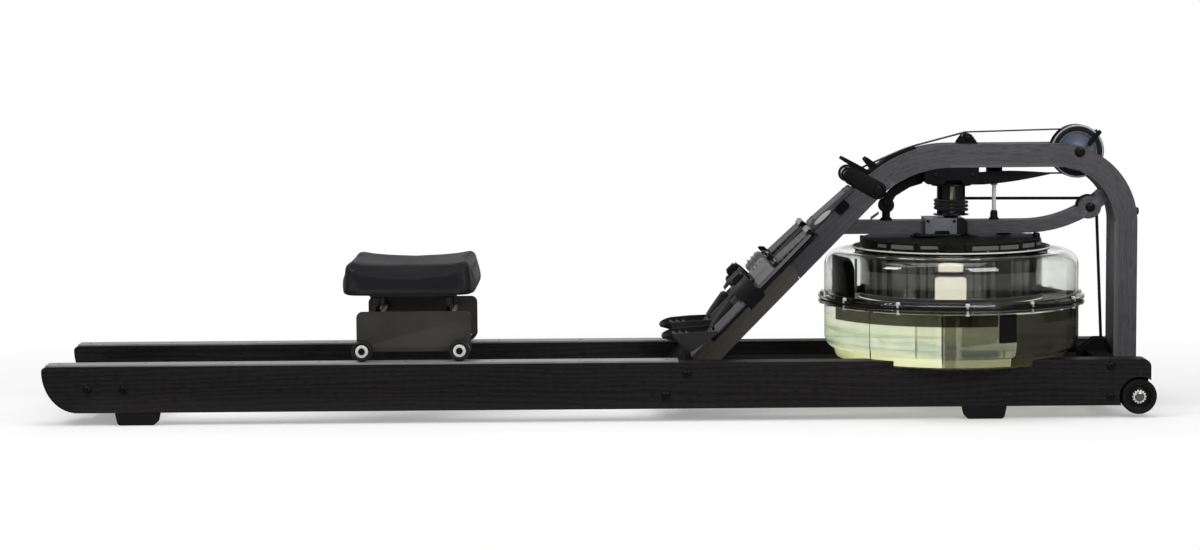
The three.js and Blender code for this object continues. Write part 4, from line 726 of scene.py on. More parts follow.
def cross_members():
    reach, low, high = RAIL_IN - 0.3, 72.7, 97.7
    front = fillet([(-reach, 30), (reach, 30), (reach, 110), (16, 110), (16, 50), (-16, 50), (-16, 110),
                    (-reach, 110)], [0, 0, 0, 3, 3, 3, 3, 0])
    for name, shape, solid in (("rear", box(-1005, -872, -reach, reach, 51, 87), "rear_crossmember"),
                               ("foot", slope_box(-99, -12, -18, 18, -reach, reach), "foot_crossmember"),
                               ("front", beam(front, 950, 992), "front_crossmember")):
        piece(f"{name}_member", shape, cross_wood, solid, edge=2.5, grain=lambda p: (p.y, p.x, p.z))
    left = [250.6 + (z - RAIL_TOP) / math.tan(SLOPE) for z in (low, high)]
    board = prism([(left[0], low), (949.7, low), (949.7, high), (left[1], high)], -43, 43)
    piece("bearer_board", board, cross_wood, "centre_bearer", edge=2.0,
          cuts=[box(939.2, 971, -16, 16, 60, 110)], grain=tuple)


# Arch: the band runs down the slope, over the top and down the upright

REAR_BEND, FRONT_BEND = (685.61, 270.0, 245.0), (892.0, 360.0, 155.0)
BEAM_HALF, BEAM_DEEP, BEAM_TOP, BEAM_FRONT = 43.0, 45.0, 515.0, 1047.0
SLOPE_END = 461.5


def arch_places(inset, low):
    """The band's line at a depth below its outer face, from the scarf to the foot of the upright."""
    start = on_slope(low, -inset)
    bend = arc(*REAR_BEND[:2], REAR_BEND[2] - inset, 135.5, 90, 40)
    turn = arc(*FRONT_BEND[:2], FRONT_BEND[2] - inset, 90, 0, 36)
    slope = [(start.x + (bend[0][0] - start.x) * t / 8, start.z + (bend[0][1] - start.z) * t / 8)
             for t in range(8)]
    top = [(bend[-1][0] + (turn[0][0] - bend[-1][0]) * t / 8, BEAM_TOP - inset) for t in range(1, 8)]
    return slope + bend + top + turn + [(BEAM_FRONT - inset, 360 - 33 * t) for t in range(1, 11)]


def arch_room():
    """The band, grown by a clearance, to cut what meets it."""
    return prism(arch_places(-0.4, 150) + arch_places(BEAM_DEEP + 0.4, 150)[::-1], -60, 60)


def scarf_along(off):
    """Where the joint between the arch and its foot lies, at a depth below the upper face."""
    return 243.5 + 12.5 * math.sin(math.pi * min(max(-off / 40, 0), 1)) + 3.0 * min(-off / 45, 1)


def arch_grain(p):
    """Length along the band and depth in it, worked out from a corner's place."""
    if p.x < REAR_BEND[0]:
        dx, dz = p.x - SLOPE_ORIGIN[0], p.z - SLOPE_ORIGIN[1]
        along = dx * math.cos(SLOPE) + dz * math.sin(SLOPE)
        if along < SLOPE_END:
            return along, p.y, dz * math.cos(SLOPE) - dx * math.sin(SLOPE)
        turn = math.atan2(p.z - REAR_BEND[1], p.x - REAR_BEND[0])
        depth = math.hypot(p.z - REAR_BEND[1], p.x - REAR_BEND[0]) - REAR_BEND[2]
        return SLOPE_END + (math.radians(135.5) - turn) * 222, p.y, depth
    if p.x < FRONT_BEND[0]:
        return 637.8 + p.x - REAR_BEND[0], p.y, p.z - BEAM_TOP
    if p.z > FRONT_BEND[1]:
        turn = math.atan2(p.z - FRONT_BEND[1], p.x - FRONT_BEND[0])
        depth = math.hypot(p.z - FRONT_BEND[1], p.x - FRONT_BEND[0]) - FRONT_BEND[2]
        return 844.2 + (math.pi / 2 - turn) * 132, p.y, depth
    return 1051.5 + FRONT_BEND[1] - p.z, p.y, p.x - BEAM_FRONT


def arch():
    layers = [arch_places(BEAM_DEEP * k / 4, scarf_along(-BEAM_DEEP * k / 4) + 0.3) for k in range(5)]
    n, rows = len(layers[0]), len(layers)
    corners = [(x, y, z) for y in (-BEAM_HALF, BEAM_HALF) for layer in layers for x, z in layer]
    half = rows * n
    faces = [(side + k * n + i, side + k * n + i + 1, side + (k + 1) * n + i + 1, side + (k + 1) * n + i)
             for side in (0, half) for k in range(rows - 1) for i in range(n - 1)]
    faces += [(k * n + i, k * n + i + 1, half + k * n + i + 1, half + k * n + i)
              for k in (0, rows - 1) for i in range(n - 1)]
    faces += [(k * n + i, (k + 1) * n + i, half + (k + 1) * n + i, half + k * n + i)
              for i in (0, n - 1) for k in range(rows - 1)]
    piece("arch_band", (corners, faces, None), arch_wood, "arch_beam", edge=3.0, grain=arch_grain,
          cuts=[rod(TOP_PULLEY, 58, -15.8, 15.8, 64), rod(TOP_PULLEY, 6.3, -60, 60)], sharp=40.0)
    under = (30 - on_slope(0, -BEAM_DEEP).z) / math.sin(SLOPE)
    joint = [(scarf_along(-BEAM_DEEP * k / 10), -BEAM_DEEP * k / 10) for k in range(10, -1, -1)]
    foot = [(-82 / math.sin(SLOPE), 0), (under, -BEAM_DEEP), *joint]
    piece("arch_lower", prism(slope_pairs(foot), -BEAM_HALF, BEAM_HALF), foot_wood, "arch_foot", edge=2.5,
          cuts=[slope_box(-125, -11.7, -18.3, 36, -60, 60)],
          grain=lambda p: arch_grain(Vector((min(p.x, 500), p.y, p.z))))
    for name, side in SIDES:
        piece(f"upright_bolt_{name}", socket_head((1047.2, side * 26.0, 382), (1, 0, 0), 7.5, 4.6, 0.42),
              bolt_black)


def shaft_arm():
    bend, start, flat = (833.0, 585.5), 478.0, (560, 640, 740)
    low = [(start, 341), *[(x, 341) for x in flat], *arc(*bend, 244.5, -90, -43.4, 24)]
    high = [*arc(*bend, 219.5, -44.4, -90, 24), *[(x, 366) for x in flat[::-1]], (start, 366)]
    piece("shaft_arm_bow", prism(low + high, -25, 25), arch_wood, "shaft_arm", edge=2.2,
          joins=[rod(ARM_PULLEY, 21.5, -25, 25, 48)],
          cuts=[arch_room(), rod(ARM_PULLEY, 27.2, -7.8, 7.8, 48), rod(ARM_PULLEY, 4.3, -40, 40, 20),
                bore(8.6, 330, 380)], grain=tuple)


def headed_pin(name, at, radius, half, head, stands_for):
    shapes = [rod(at, radius, -half, half)]
    for side in (-1, 1):
        washer = block(radius * 0.5, head + 2.2, side * half, side * (half + 1.2))
        shapes += [wheel(washer, at, 32, 0.4), side_screw(at, side, half + 1.2, head, 3.0, 0.46)]
    piece(name, shapes, bolt_black, stands_for)


def pulleys():
    body = "top_pulley"
    rim = [(38.9, -15), (52, -15), (52, -13.4), (42, -13.4), (42, 13.4), (52, 13.4), (52, 15), (38.9, 15)]
    piece("top_pulley_rim", wheel(rim, TOP_PULLEY, 96), disc_rim, body, body)
    # Partly silver trim, partly a painted edge highlight.
    edges = [wheel(block(*sizes), TOP_PULLEY, 96, 0.3)
             for sizes in ((48.3, 51.2, -15.3, -14.2), (48.3, 51.2, 14.2, 15.3), (37.6, 38.8, -11.6, -10.4),
                           (37.6, 38.8, 10.4, 11.6))]
    piece("top_pulley_edges", edges, edge_silver_and_highlight, body=body)
    disc = [(8.2, -11), (14, -11), (15, -7.5), (34, -7.5), (36, -10.5), (38.8, -10.5), (38.8, 10.5),
            (36, 10.5), (34, 7.5), (15, 7.5), (14, 11), (8.2, 11)]
    piece("top_pulley_disc", wheel(disc, TOP_PULLEY, 96, 0.8), disc_slate, body=body)
    piece("top_pulley_hub", wheel(block(6.3, 8.4, -14.6, 14.6), TOP_PULLEY, 48, 0.3, 1), bright_steel,
          body=body)
    arm = fillet([(952, 512.5), (958, 506.5), (968, 520), (981.5, 535), (976, 541), (963, 529)],
                 [3, 3, 8, 2.5, 2.5, 8])
    for name, side in SIDES:
        piece(f"strap_keeper_cheek_{name}", prism(arm, *span(side, 15.9, 18.4)), black_plastic, edge=0.5)
    piece("strap_keeper_bar", rod((975.5, 535.5), 3.0, -17, 17, 20), black_plastic)
    headed_pin("top_pulley_axle", TOP_PULLEY, 6, BEAM_HALF + 0.2, 8.2, "top_pulley_pin")
    headed_pin("arm_pulley_axle", ARM_PULLEY, 4, 25.2, 7.2, "arm_pulley_pin")
    small = [(19, -7), (23.5, -7), (24, -5.6), (16, -2.2), (13.2, 0), (16, 2.2), (24, 5.6), (23.5, 7),
             (19, 7), (17, 5.2), (9, 5.2), (8, 7), (4.3, 7), (4.3, -7), (8, -7), (9, -5.2), (17, -5.2)]
    for name, at in (("arm_pulley", ARM_PULLEY), ("low_pulley", LOW_PULLEY)):
        piece(f"{name}_wheel", lathe(small, at, "Y", 64), gloss_plastic, name, name)
    roller = [(3.3, -14.9), (8.2, -14.9), (9, -13.4), (8.4, 0), (9, 13.4), (8.2, 14.9), (3.3, 14.9)]
    body = "guide_roller"
    piece("guide_roller_barrel", wheel(roller, GUIDE, 48, 0.4), gloss_plastic, body, body)
    cheek = fillet([(699, 515.3), (739, 515.3), (737, 520), (726.5, 534), (711.5, 534), (701, 520)],
                   [1, 1, 4, 4, 4, 4], 4)
    shapes = [prism(cheek, *span(side, 15.8, 18.8)) for _, side in SIDES]
    shapes += [box(699.5, 738.5, -16.5, 16.5, 515.3, 517.3), rod(GUIDE, 3, -19.6, 19.6, 20)]
    piece("guide_bracket_fold", shapes, black_plastic, "guide_bracket", edge=0.5)
    piece("guide_bracket_screws", [side_screw(GUIDE, side, 19.2, 4.6, 2.2) for _, side in SIDES],
          bolt_black)


def low_bracket():
    cheek = fillet([(940, 55), (1001.4, 55), (1001.4, 111), (993, 133), (971, 133), (940, 111)],
                   [3, 3, 6, 6, 8, 8], 4)
    shapes = [prism(cheek, *span(side, 12.7, 15.7)) for _, side in SIDES]
    shapes += [rod(LOW_PULLEY, 4, -15.4, 15.4, 20), rod((971, 124), 3, -12.8, 12.8, 16),
               rod((948, 62), 3, -12.8, 12.8, 16)]
    piece("low_bracket_cheeks", shapes, black_plastic, "low_pulley_bracket", edge=0.6)


def transport_wheels():
    for name, side in SIDES:
        body = f"transport_wheel_{name}"

        def across(pairs):
            """Puts a radius and a share of the wheel's width at its place across the machine."""
            return [(radius, side * (163.0 + 26.0 * share)) for radius, share in pairs]

        def spokes(count, r0, r1, low, high, half):
            bar = box(r0, r1, *span(side, 163.0 + 26.0 * low, 163.0 + 26.0 * high), -half, half)
            return [moved(bar, about(WHEEL, turn, "Y")) for turn in turns(count)]

        tread = [(24, 0.04), (31, 0), (34, 0.18), (34, 0.44), (33.2, 0.46), (33.2, 0.54), (34, 0.56),
                 (34, 0.82), (31, 1), (26, 0.97), (25, 0.9), (24, 0.9)]
        hub = [(6.4, 0.05), (24.2, 0.05), (24.2, 0.9), (22.4, 0.9), (21.4, 0.78), (15, 0.78), (14, 0.9),
               (6.4, 0.9)]
        piece(f"wheel_tread_{name}", wheel(across(tread), WHEEL, 96, 0.8, 3), tyre, body, body)
        piece(f"wheel_hub_{name}", wheel(across(hub), WHEEL, 72), gloss_plastic, body=body,
              joins=spokes(12, 13.5, 22.5, 0.7, 0.88, 0.9))
        piece(f"wheel_collar_{name}", wheel(across(block(6.6, 11.2, 0.9, 0.985)), WHEEL, 56, 0.4),
              hub_bright, body=body, joins=spokes(14, 9.5, 13.2, 0.9, 0.965, 1.2))


# Drive

STRAP_Z = 448.4


def spiral(count, steps, turn_at, radius_at, z_at):
    """Places on a winding round the tank's axis, from functions of the share of it that is run."""
    return [(TANK_X + radius_at(i) * math.cos(turn_at(i)), radius_at(i) * math.sin(turn_at(i)), z_at(i))
            for i in range(count * steps + 1)]


def spool():
    base, hub, low, drum, high, bay, top = 371.6, 375.6, 378.1, 433.1, 435.6, 461.2, 463.7
    shapes = [
        upright([(8.4, base), (14, base), (14, hub), (34.5, hub), (34.5, low), (24, low + 0.2),
                 (8.4, low + 0.2)], 72),
        upright([(8.4, drum - 0.2), (24, drum - 0.2), (38.5, drum), (38.5, high), (18, high), (18, bay),
                 (38.5, bay), (38.5, top), (8.4, top)], 72)]
    half = math.pi / 6 - math.radians(11)
    for middle in turns(6, math.pi / 6 - math.pi / 2):
        sweeps = [middle - half + 2 * half * i / 10 for i in range(11)]
        stave = [(TANK_X + 27.5 * math.cos(t), 27.5 * math.sin(t)) for t in sweeps]
        stave += [(TANK_X + 23.5 * math.cos(t), 23.5 * math.sin(t)) for t in sweeps[::-1]]
        shapes.append(plate(stave, low - 1, drum + 1))
    shapes.append(upright(block(23.8, 27.4, 402.2, 406.4), 72, 0))
    piece("spool_core", upright(block(10.5, 13, low + 0.6, drum - 0.6)), cream, body="spool")
    piece("spool_body", shapes, gloss_plastic, "spool", "spool")
    piece("spool_screws", screws_round(6, 29, top - 0.2, 2.6, 1.2), bolt_black, body="spool")
    steps = 64
    strap = spiral(4, steps, lambda i: -math.pi / 2 - 2 * math.pi * (4 * steps - i) / steps,
                   lambda i: 19.3 + 10.4 * i / (4 * steps), lambda i: STRAP_Z)
    piece("strap_winding", sweep(strap, oblong(25, 2, 0.6), UP), webbing, "strap_coil", "spool")
    cord = spiral(3, steps, lambda i: math.pi / 2 + 2 * math.pi * (3 * steps - i) / steps,
                  lambda i: 30.8, lambda i: 384.1 + 7.2 * i / steps)
    piece("cord_winding", sweep(cord, circle(3, 12), UP), cord_look, "cord_coil", "spool")
    piece("cord_knot", upright(block(0, 4.6, 380.6, 387.4), 20, 1.2, 3, cord[0][:2]), cord_look,
          body="spool")


def shaft_parts():
    piece("shaft_rod", upright(block(0, 8, 102.3, 468.7), 48, [0, 0.6, 1.0, 0], 3), chrome, "shaft",
          "paddle")
    blade = prism(fillet([(20, 121), (140, 118), (150, 126), (150, 186), (142, 194), (20, 194)],
                         [0, 6, 5, 8, 8, 0]), -2.2, 2.2)
    piece("impeller_wheel", upright(block(8.3, 26, 118, 194), 64, 2, 3), paddle_clear, "impeller", "paddle",
          joins=[moved(blade, about(TANK, turn)) for turn in turns(6)], edge=0.4, steps=2)
    piece("shaft_collar", upright(block(24.2, 31.6, 268.3, 276), 48, 0.8), black_plastic, body="paddle")
    sleeve = [(8.6, 222), (28, 222), (30.5, 224), (30.5, 266), (24, 268), (24, 295), (12, 301), (8.6, 301)]
    # The sleeve's material glows: painted light.
    piece("shaft_sleeve", upright(sleeve, 64, 1.2, 3), sleeve_cream_painted_glow, body="paddle")


def bearing():
    x0, x1, x2, top = 636.0, 697.0, 718.0, 371.3
    cheek = fillet([(x0, 341), (653, 341), (655, 347), (682, 347), (684, 341), (x1, 341), (x1, top),
                    (x0, top)], [2, 1, 2, 2, 1, 1, 1, 2])
    shapes = [prism(cheek, *span(side, 25.3, 37.3)) for _, side in SIDES]
    shapes.append(box(x0, x1, -37.3, 37.3, 366.3, top))
    piece("bearing_saddle", shapes[0], block_grey, "bearing_block", joins=shapes[1:],
          cuts=[bore(8.6, 330, 380)], edge=1.2, grain=tuple)
    black = fillet([(x1 + 0.4, 341), (x2, 341), (x2, 362), (x2 - 6, top), (x1 + 0.4, top)], [0, 4, 5, 3, 0])
    clamp = [prism(black, *span(side, 25.4, 36.4)) for _, side in SIDES]
    clamp.append(box(x1 + 0.4, x2 - 7, -36.4, 36.4, 366.4, top))
    piece("bearing_clamps", clamp[0], gloss_plastic, joins=clamp[1:], cuts=[bore(8.6, 330, 380)], edge=0.8)
    piece("bearing_screws", [side_screw(at, side, 37.2, 3.0, 1.6)
                             for _, side in SIDES for at in ((641, 366), (692, 366))], bolt_black)
    piece("bearing_flange", plate(fillet(block(612, 712, -40, 40), 14, 5), 334.6, 340.6), gloss_plastic,
          cuts=[bore(9.4, 330, 345)], edge=1.6)
    bolt = [(0, 332), (5, 332), (5, 342.4), (4, 343.6), (0, 343.6)]
    piece("bearing_flange_bolts", [upright(bolt, 24, 0.6, 2, (x, y))
                                   for x in (620, 704) for y in (-33, 33)], bolt_black)


def cage():
    top, left, right = 469.7, TANK_X - 57, TANK_X + 49
    wall = fillet([(left, top), (left, top - 28), (left + 7, top - 32), (TANK_X - 20, top - 32),
                   (TANK_X - 14, top - 24), (TANK_X + 14, top - 24), (TANK_X + 20, top - 32),
                   (right - 7, top - 32), (right, top - 26), (right, top)],
                  [0, 5, 5, 4, 4, 4, 4, 5, 5, 0], 4)
    piece("spool_cage_fold", box(left, right, -43, 43, top - 3.5, top), black_plastic, "spool_cage",
          joins=[prism(wall, *span(side, 40, 43)) for _, side in SIDES],
          cuts=[arch_room(), bore(8.4, 450, 480)], edge=0.8)
    piece("spool_cage_screws", [side_screw((TANK_X + dx, 456), side, 43.1, 4, 2.2)
                                for _, side in SIDES for dx in (-36, 36)], bolt_black)


def stay():
    x = 774.0
    piece("stay_rod", bore(4, 366.4, 441, at=(x, 0)), hub_bright, "stay")
    boot = [(4.1, 366.3), (9.6, 366.3), (9.6, 369), (7.6, 370.5), (7.0, 380), (5.6, 384.3), (4.1, 384.3)]
    piece("stay_boot", upright(boot, 40, 0.8, 3, (x, 0)), rubber)
    head = fillet([(759, 469.7), (759, 444), (764, 437.7), (784, 437.7), (789, 444), (789, 469.7)],
                  [0, 4, 5, 5, 4, 0], 4)
    piece("stay_head", prism(head, -9, 9), black_plastic, edge=1.2)
    piece("stay_collar", upright(block(4.1, 6.6, 433.5, 437.7), 32, at=(x, 0)), bright_steel)
    piece("stay_screw", [side_screw((x, 455), side, 9, 4.2, 2.2) for _, side in SIDES], bolt_black)


def brace():
    at = (563.0, 396.0)
    post = [(0, 366.3), (12, 366.3), (12, 369), (8, 372), (8, 384), (0, 384)]
    piece("post_stem", upright(post, 36, [0, 0.6, 0.6, 1, 0, 0], 3, (at[0], 0)), black_plastic,
          "brace_post")
    head = [(0, -11), (6, -11), (7, -9.4), (13, -9.4), (15.4, -7.4), (15.4, 7.4), (13, 9.4), (7, 9.4),
            (6, 11), (0, 11)]
    piece("post_head", wheel(head, at, 56, 0.6), gloss_plastic)
    piece("post_pin", [side_screw(at, side, 10.8, 5, 2.0) for _, side in SIDES], bolt_black)
    band = fillet([(632.6, 465.5), (602, 448.5), (572, 426.5), (557, 412), (557, 396), (570, 396),
                   (580, 414), (608, 431), (632.6, 438.5)], [1, 30, 24, 6, 3, 3, 14, 20, 1], 4)
    web = [(632.6, 463), (602, 446), (574, 424.5), (562, 412), (565, 409), (578, 420.5), (604, 441),
           (632.6, 457)]
    piece("brace_band", prism(band, *span(-1, 12, 15)), black_plastic,
          joins=[prism(band, *span(1, 12, 15)), prism(web, -12.5, 12.5)], edge=0.7)
    spring = [Vector((548 - 16 * i / 89, -6, 381 - 11 * i / 89))
              + Vector((0, math.cos(i * 0.9), math.sin(i * 0.9))) * 2.6 for i in range(90)]
    piece("post_spring", sweep(spring, circle(0.7, 6)), bright_steel)


# Tank


def bowl_wall(inset):
    """The bowl's bulging wall, from its flat bottom to where it stands upright."""
    return (arc(219, 118, 9 - inset, -90, 0, 10, 20 - inset)
            + arc(228, 142, 19 - inset, -90, 0, 14, 24 - inset))


def screws_round(count, radius, z, size, height, first=0.0, **extra):
    return [socket_head((TANK_X + radius * math.cos(t), radius * math.sin(t), z), UP, size, height, **extra)
            for t in turns(count, first)]


def wall_strip(radius, thick, start, end, low, high, top_round=0.0, steps=40):
    """A piece of an upright wall round the tank's axis, its upper corners rounded."""
    rings = []
    reach = math.radians(abs(end - start)) * radius
    for i in range(steps + 1):
        share = 0.5 - 0.5 * math.cos(math.pi * i / steps)
        turn = math.radians(start + (end - start) * share)
        inward = top_round - min(min(share, 1 - share) * reach, top_round)
        top = high - top_round + math.sqrt(max(top_round ** 2 - inward ** 2, 0))
        rings.append([(TANK_X + r * math.cos(turn), r * math.sin(turn), z)
                      for r, z in block(radius - thick, radius, low, top)])
    return loft(rings)


def wall_strips(radius, thick, low, high, top_round, steps, places):
    """Strips of one height, each given by its start and its width in degrees."""
    return [wall_strip(radius, thick, start, start + wide, low, high, top_round, steps)
            for start, wide in places]


def bowl_shade_film(start, end, steps=32):
    """A thin sheet on the bowl's outer face, between two angles round the tank's axis, that paints shade
    onto the bowl.
    """
    profile = [*bowl_wall(-0.7)[4:], (247.7, 150), (247.7, 203), (247.1, 203), (247.1, 150),
               *bowl_wall(-0.1)[4:][::-1]]
    rings, count = [], len(profile)
    for i in range(steps + 1):
        turn = math.radians(start + (end - start) * i / steps)
        rings.append([(TANK_X + r * math.cos(turn), r * math.sin(turn), z) for r, z in profile])
    corners, faces, _ = loft(rings, capped=False)
    faces += [(base + k, base + k + 1, base + count - 2 - k, base + count - 1 - k)
              for base in (0, count * steps) for k in range(count // 2 - 1)]
    return corners, faces, None


def tank_shells():
    flange = fillet([(247, 150), (247, 207), (259, 207), (259, 212), (243, 212), (243, 150)],
                    [0, 2, 1.2, 0.8, 0.6, 0])
    bowl = [(0, 98), *bowl_wall(0), *flange, *bowl_wall(4)[::-1], (0, 102)]
    foot = fillet([(243, 216.6), (259, 216.6), (259, 221.6), (247, 221.6), (247, 240)],
                  [0.6, 1.0, 1.2, 2.0, 0])
    dome = [*foot, *arc(217, 279, 30, 0, 90, 24), (184.6, 309), (184, 308.4), (184, 305.6), (184.6, 305),
            *arc(217, 279, 26, 0, 90, 24)[::-1]]
    for name, profile, solid in (("tank_lower", bowl, "tank_bowl"), ("tank_upper", dome, "tank_dome")):
        piece(name, lathe(profile, TANK, "Z", 160), tank_clear, solid, angle=50)
    gasket = [(243, 212.3), (254.6, 212.3), (256, 213.2), (256, 215.4), (254.6, 216.3), (243, 216.3)]
    piece("tank_seal", upright(gasket, 128), rubber, "tank_gasket")
    piece("tank_seal_band", upright(block(236.5, 242.7, 205, 226), 128, 1.2, 3), gloss_plastic)
    pins = []
    for turn in turns(12, -math.pi / 2):
        at = (TANK_X + 253 * math.cos(turn), 253 * math.sin(turn))
        head = [(0, 221.7), (3.8, 221.7), (3.8, 225.6), (3.0, 226.6), (0, 226.6)]
        pins += [bore(2.2, 203.4, 226, 16, at), upright(head, 20, [0, 0.3, 0.6, 0.6, 0], 2, at),
                 upright(block(0, 3.8, 203.2, 206.9), 6, 0.8, 2, at)]
    # The pins are given a near-white look that paints their chrome glints as colour.
    piece("tank_clamp_pins", pins, hub_bright)
    ear = fillet(block(246.5, 257.6, -7, 7), [0, 3, 3, 0], 4)
    piece("tank_flange_ears", [moved(plate(ear, z, z + 2.4), about(TANK, turn))
                               for turn in turns(12, math.pi / 12 - math.pi / 2) for z in (204.5, 221.8)],
          tank_clear, edge=0.4)


def tank_inside():
    """The dark and smoked parts behind and on the clear walls. Most paint shade: a near-black sheet, tinted
    films and a foot band; one pale strip paints a highlight.
    """
    # A near-black sheet behind the clear wall that paints the shade seen through it.
    piece("shade_sheet_upper", wall_strip(232, 3.0, 180, 210.3, 206, 300, 26.0), inner_dark_and_shade, edge=0.5)
    # A pale strip at the sheet's edge: a painted highlight.
    piece("highlight_strip_edge", wall_strip(232.6, 1.4, 211.6, 213.0, 238, 300, 1.0, 8), lid_pale)
    # Tinted sheets on the bowl's face: painted shade.
    piece("shade_film_right", bowl_shade_film(-67.3, 34), shade_film_dark)
    piece("shade_film_middle", bowl_shade_film(-101.1, -67.5), shade_film_olive)
    piece("shade_film_deep", wall_strip(247.9, 0.6, -160, -76.1, 181.5, 204.5, 0.0, 60), shade_film_deep)
    piece("bowl_gauge", wall_strip(247.9, 0.8, -75.7, -67.3, 150, 204.5, 1.0, 12), inner_dark_and_shade)
    # A tinted band round the bowl's foot: painted shade.
    rim = bowl_wall(-0.7)[:5] + bowl_wall(-0.1)[:5][::-1]
    piece("bowl_foot_shade", lathe(rim, TANK, "Z", 144), shade_film_deep)
    piece("tank_deck", upright(block(180, 242.4, 212.8, 214.8), 128), inner_dark_and_shade)
    marks = wall_strips(243.4, 1.6, 110, 206, 0.0, 4, [(start, 0.5) for start in (-136.0, -101.0, 14.0)])
    piece("bowl_mould_lines", marks, tank_smoke)


def tank_lid():
    crown = fillet([(9.4, 339.1), (34, 339.1), (35, 336.5), (60, 332.6), (172.5, 332.6), (174.6, 330),
                    (176.6, 317.4), (190, 316.4), (192, 314.6), (192, 312.3), (186, 309.3), (184.2, 309.3)],
                   [0, 1.6, 1, 4, 3, 1.5, 2, 1.4, 0.8, 0.8, 0.8, 0])
    crown = [(8.6, 328.1), (8.6, 339), *crown, (177, 309.3), (172, 320), (168, 328.1)]
    piece("lid_crown", lathe(crown, TANK, "Z", 144), lid_dark, "tank_lid", angle=40)
    piece("lid_rim", upright([(191.6, 314.4), (193.4, 313.6), (193.6, 315.2), (191.2, 316.8)], 144, 0.3),
          rim_pale)
    piece("lid_skirt", upright(block(173, 177, 224, 309.1), 144, [0.8, 0.8, 0, 0]), tank_smoke, angle=40)
    places = [(-149, 8, 321, 327), (-137, 17, 320, 328), (-116, 11, 322, 328), (-84, 34, 319.5, 327.5),
              (-47, 14, 320, 328), (-30, 10, 321, 327), (24, 30, 320, 328), (62, 26, 320, 328),
              (98, 30, 320, 328), (138, 34, 320, 328)]
    panels = [wall_strip(177.7, 0.9, start, start + wide, low, high, 2.0, 12)
              for start, wide, low, high in places]
    piece("lid_panels", panels, lid_pale)
    lugs = [moved(box(171, 179.0, -wide, wide, 319, 333.2), about(TANK, math.radians(turn)))
            for turn, wide in ((-153, 5), (-139, 3), (-120, 2), (-103, 6), (-87, 4), (-66, 1.6), (-49, 5),
                               (-31, 2), (20, 4), (58, 4), (92, 4), (132, 4), (166, 4))]
    piece("lid_lugs", lugs, gloss_plastic, edge=0.8)
    ribs = wall_strips(172.8, 3.6, 230, 308.6, 0.0, 4, (
        (-167, 2.2), (-160, 1.0), (-151, 3.4), (-141, 1.0), (-126, 0.8), (-113, 1.6), (-108, 0.7),
        (-83, 0.8), (-78, 2.0), (-45, 1.2), (-36, 2.6), (-27, 1.0), (-14, 2.0), (10, 2.0), (34, 1.0),
        (55, 3.0), (79, 1.0), (104, 2.6), (127, 1.0), (149, 2.4), (171, 1.2)))
    piece("lid_ribs", ribs, inner_dark_and_shade)
    piece("lid_gauge", wall_strip(178.2, 1.0, -69.0, -57.6, 226, 308.6, 1.5, 12), gloss_plastic)
    piece("lid_skirt_foot", upright(block(172.7, 178.6, 216.0, 226.4), 144, 1.2, 3), inner_dark_and_shade)
    piece("lid_screws", screws_round(12, 186, 316.3, 3.2, 1.8, math.pi / 12, points=4), bright_steel)
    at = (TANK_X + 112, 60)
    knob = [(0, 330), (15, 330), (15, 336), (13.5, 339.4), (0, 340)]
    grip = moved(box(-12, 12, -2.6, 2.6, 338, 342.5), about(at, 0.5))
    piece("filler_plug", [upright(knob, 40, [0, 0, 1.5, 1, 0], 3, at), grip], gloss_plastic, edge=0.5)
    vent = [(0, 314), (6.5, 314), (7.5, 318), (6, 327), (7.4, 331), (7.4, 337), (5.6, 340.4), (0, 340.8)]
    piece("lid_vent", upright(vent, 40, [0, 1.5, 2, 2, 1.5, 2, 2, 0], 4, (TANK_X + 165, -14)),
          gloss_plastic)


def tank_water():
    level = 181.0
    water = [(0, 101.8), *bowl_wall(3.6), (243.4, 150), (243.4, level + 1.4), (242.6, level + 0.3),
             (240, level), (0, level)]
    piece("tank_water", lathe(water, TANK, "Z", 160), water_look, "water", angle=50)


# Handle, its rest, the strap and the cord


def handle_place(y):
    share = max(abs(y) - 40, 0) / 210
    return on_slope(457 + 12 * share, 27.6 - 38 * share, y)


def handle():
    across = sorted([*np.linspace(-243, -52, 12), *np.linspace(-50, 50, 21), *np.linspace(52, 243, 12)])
    piece("handle_tube", sweep([handle_place(float(y)) for y in across], circle(10, 32), Vector((1, 0, 0))),
          dark_steel, "handle_bar", "handle")
    centre = handle_place(0)
    clamp = [(10.2, -14), (12.4, -14), (13, -13), (13, 13), (12.4, 14), (10.2, 14)]
    piece("handle_clamp", wheel(clamp, (centre.x, centre.z)), gloss_plastic, body="handle")
    top = centre + Vector((0.7009, 0, 0.7133)) * 6 + Vector((-0.7133, 0, 0.7009)) * 11.2
    piece("handle_clamp_screws", [socket_head(top + ACROSS * y, (-0.35, 0, 0.94), 2.6, 1.4)
                                  for y in (-8.5, 8.5)], bolt_black, body="handle")
    origin = (0, 0)
    for name, side in SIDES:
        start, end = handle_place(side * 58), handle_place(side * 250)
        length = (end - start).length
        turn = UP.rotation_difference((end - start).normalized()).to_matrix().to_4x4()
        turn = Matrix.Translation(start) @ turn
        places = [4.5 + (length - 14) * i / 60 for i in range(1, 60)]
        foam_shape = [(10.4, 0), (14.2, 0), (16.2, 1.4), (17, 4.5),
                      *[(16.9 + 0.08 * math.cos(t / 9.0 * math.pi), t) for t in places],
                      (17, length - 8), (16.4, length - 4), (14.6, length - 1.2), (12.4, length),
                      (10.4, length), (10.4, length - 4)]
        plug = [(0, length - 5), (9.8, length - 5), (9.8, length - 1.4), (8.6, length - 0.3),
                (0, length + 0.1)]
        collar = [(10.2, -3.4), (13.2, -3.4), (13.6, -0.4), (10.2, -0.4)]
        piece(f"grip_{name}_foam", moved(lathe(foam_shape, origin, "Z", 56), turn), foam,
              f"handle_grip_{name}", "handle", angle=60)
        piece(f"grip_{name}_plug", moved(upright(plug, 36, [0, 0, 0.8, 0.8, 0], 2, origin), turn),
              gloss_plastic, body="handle")
        piece(f"grip_{name}_collar", moved(upright(collar, 40, at=origin), turn), gloss_plastic,
              body="handle")


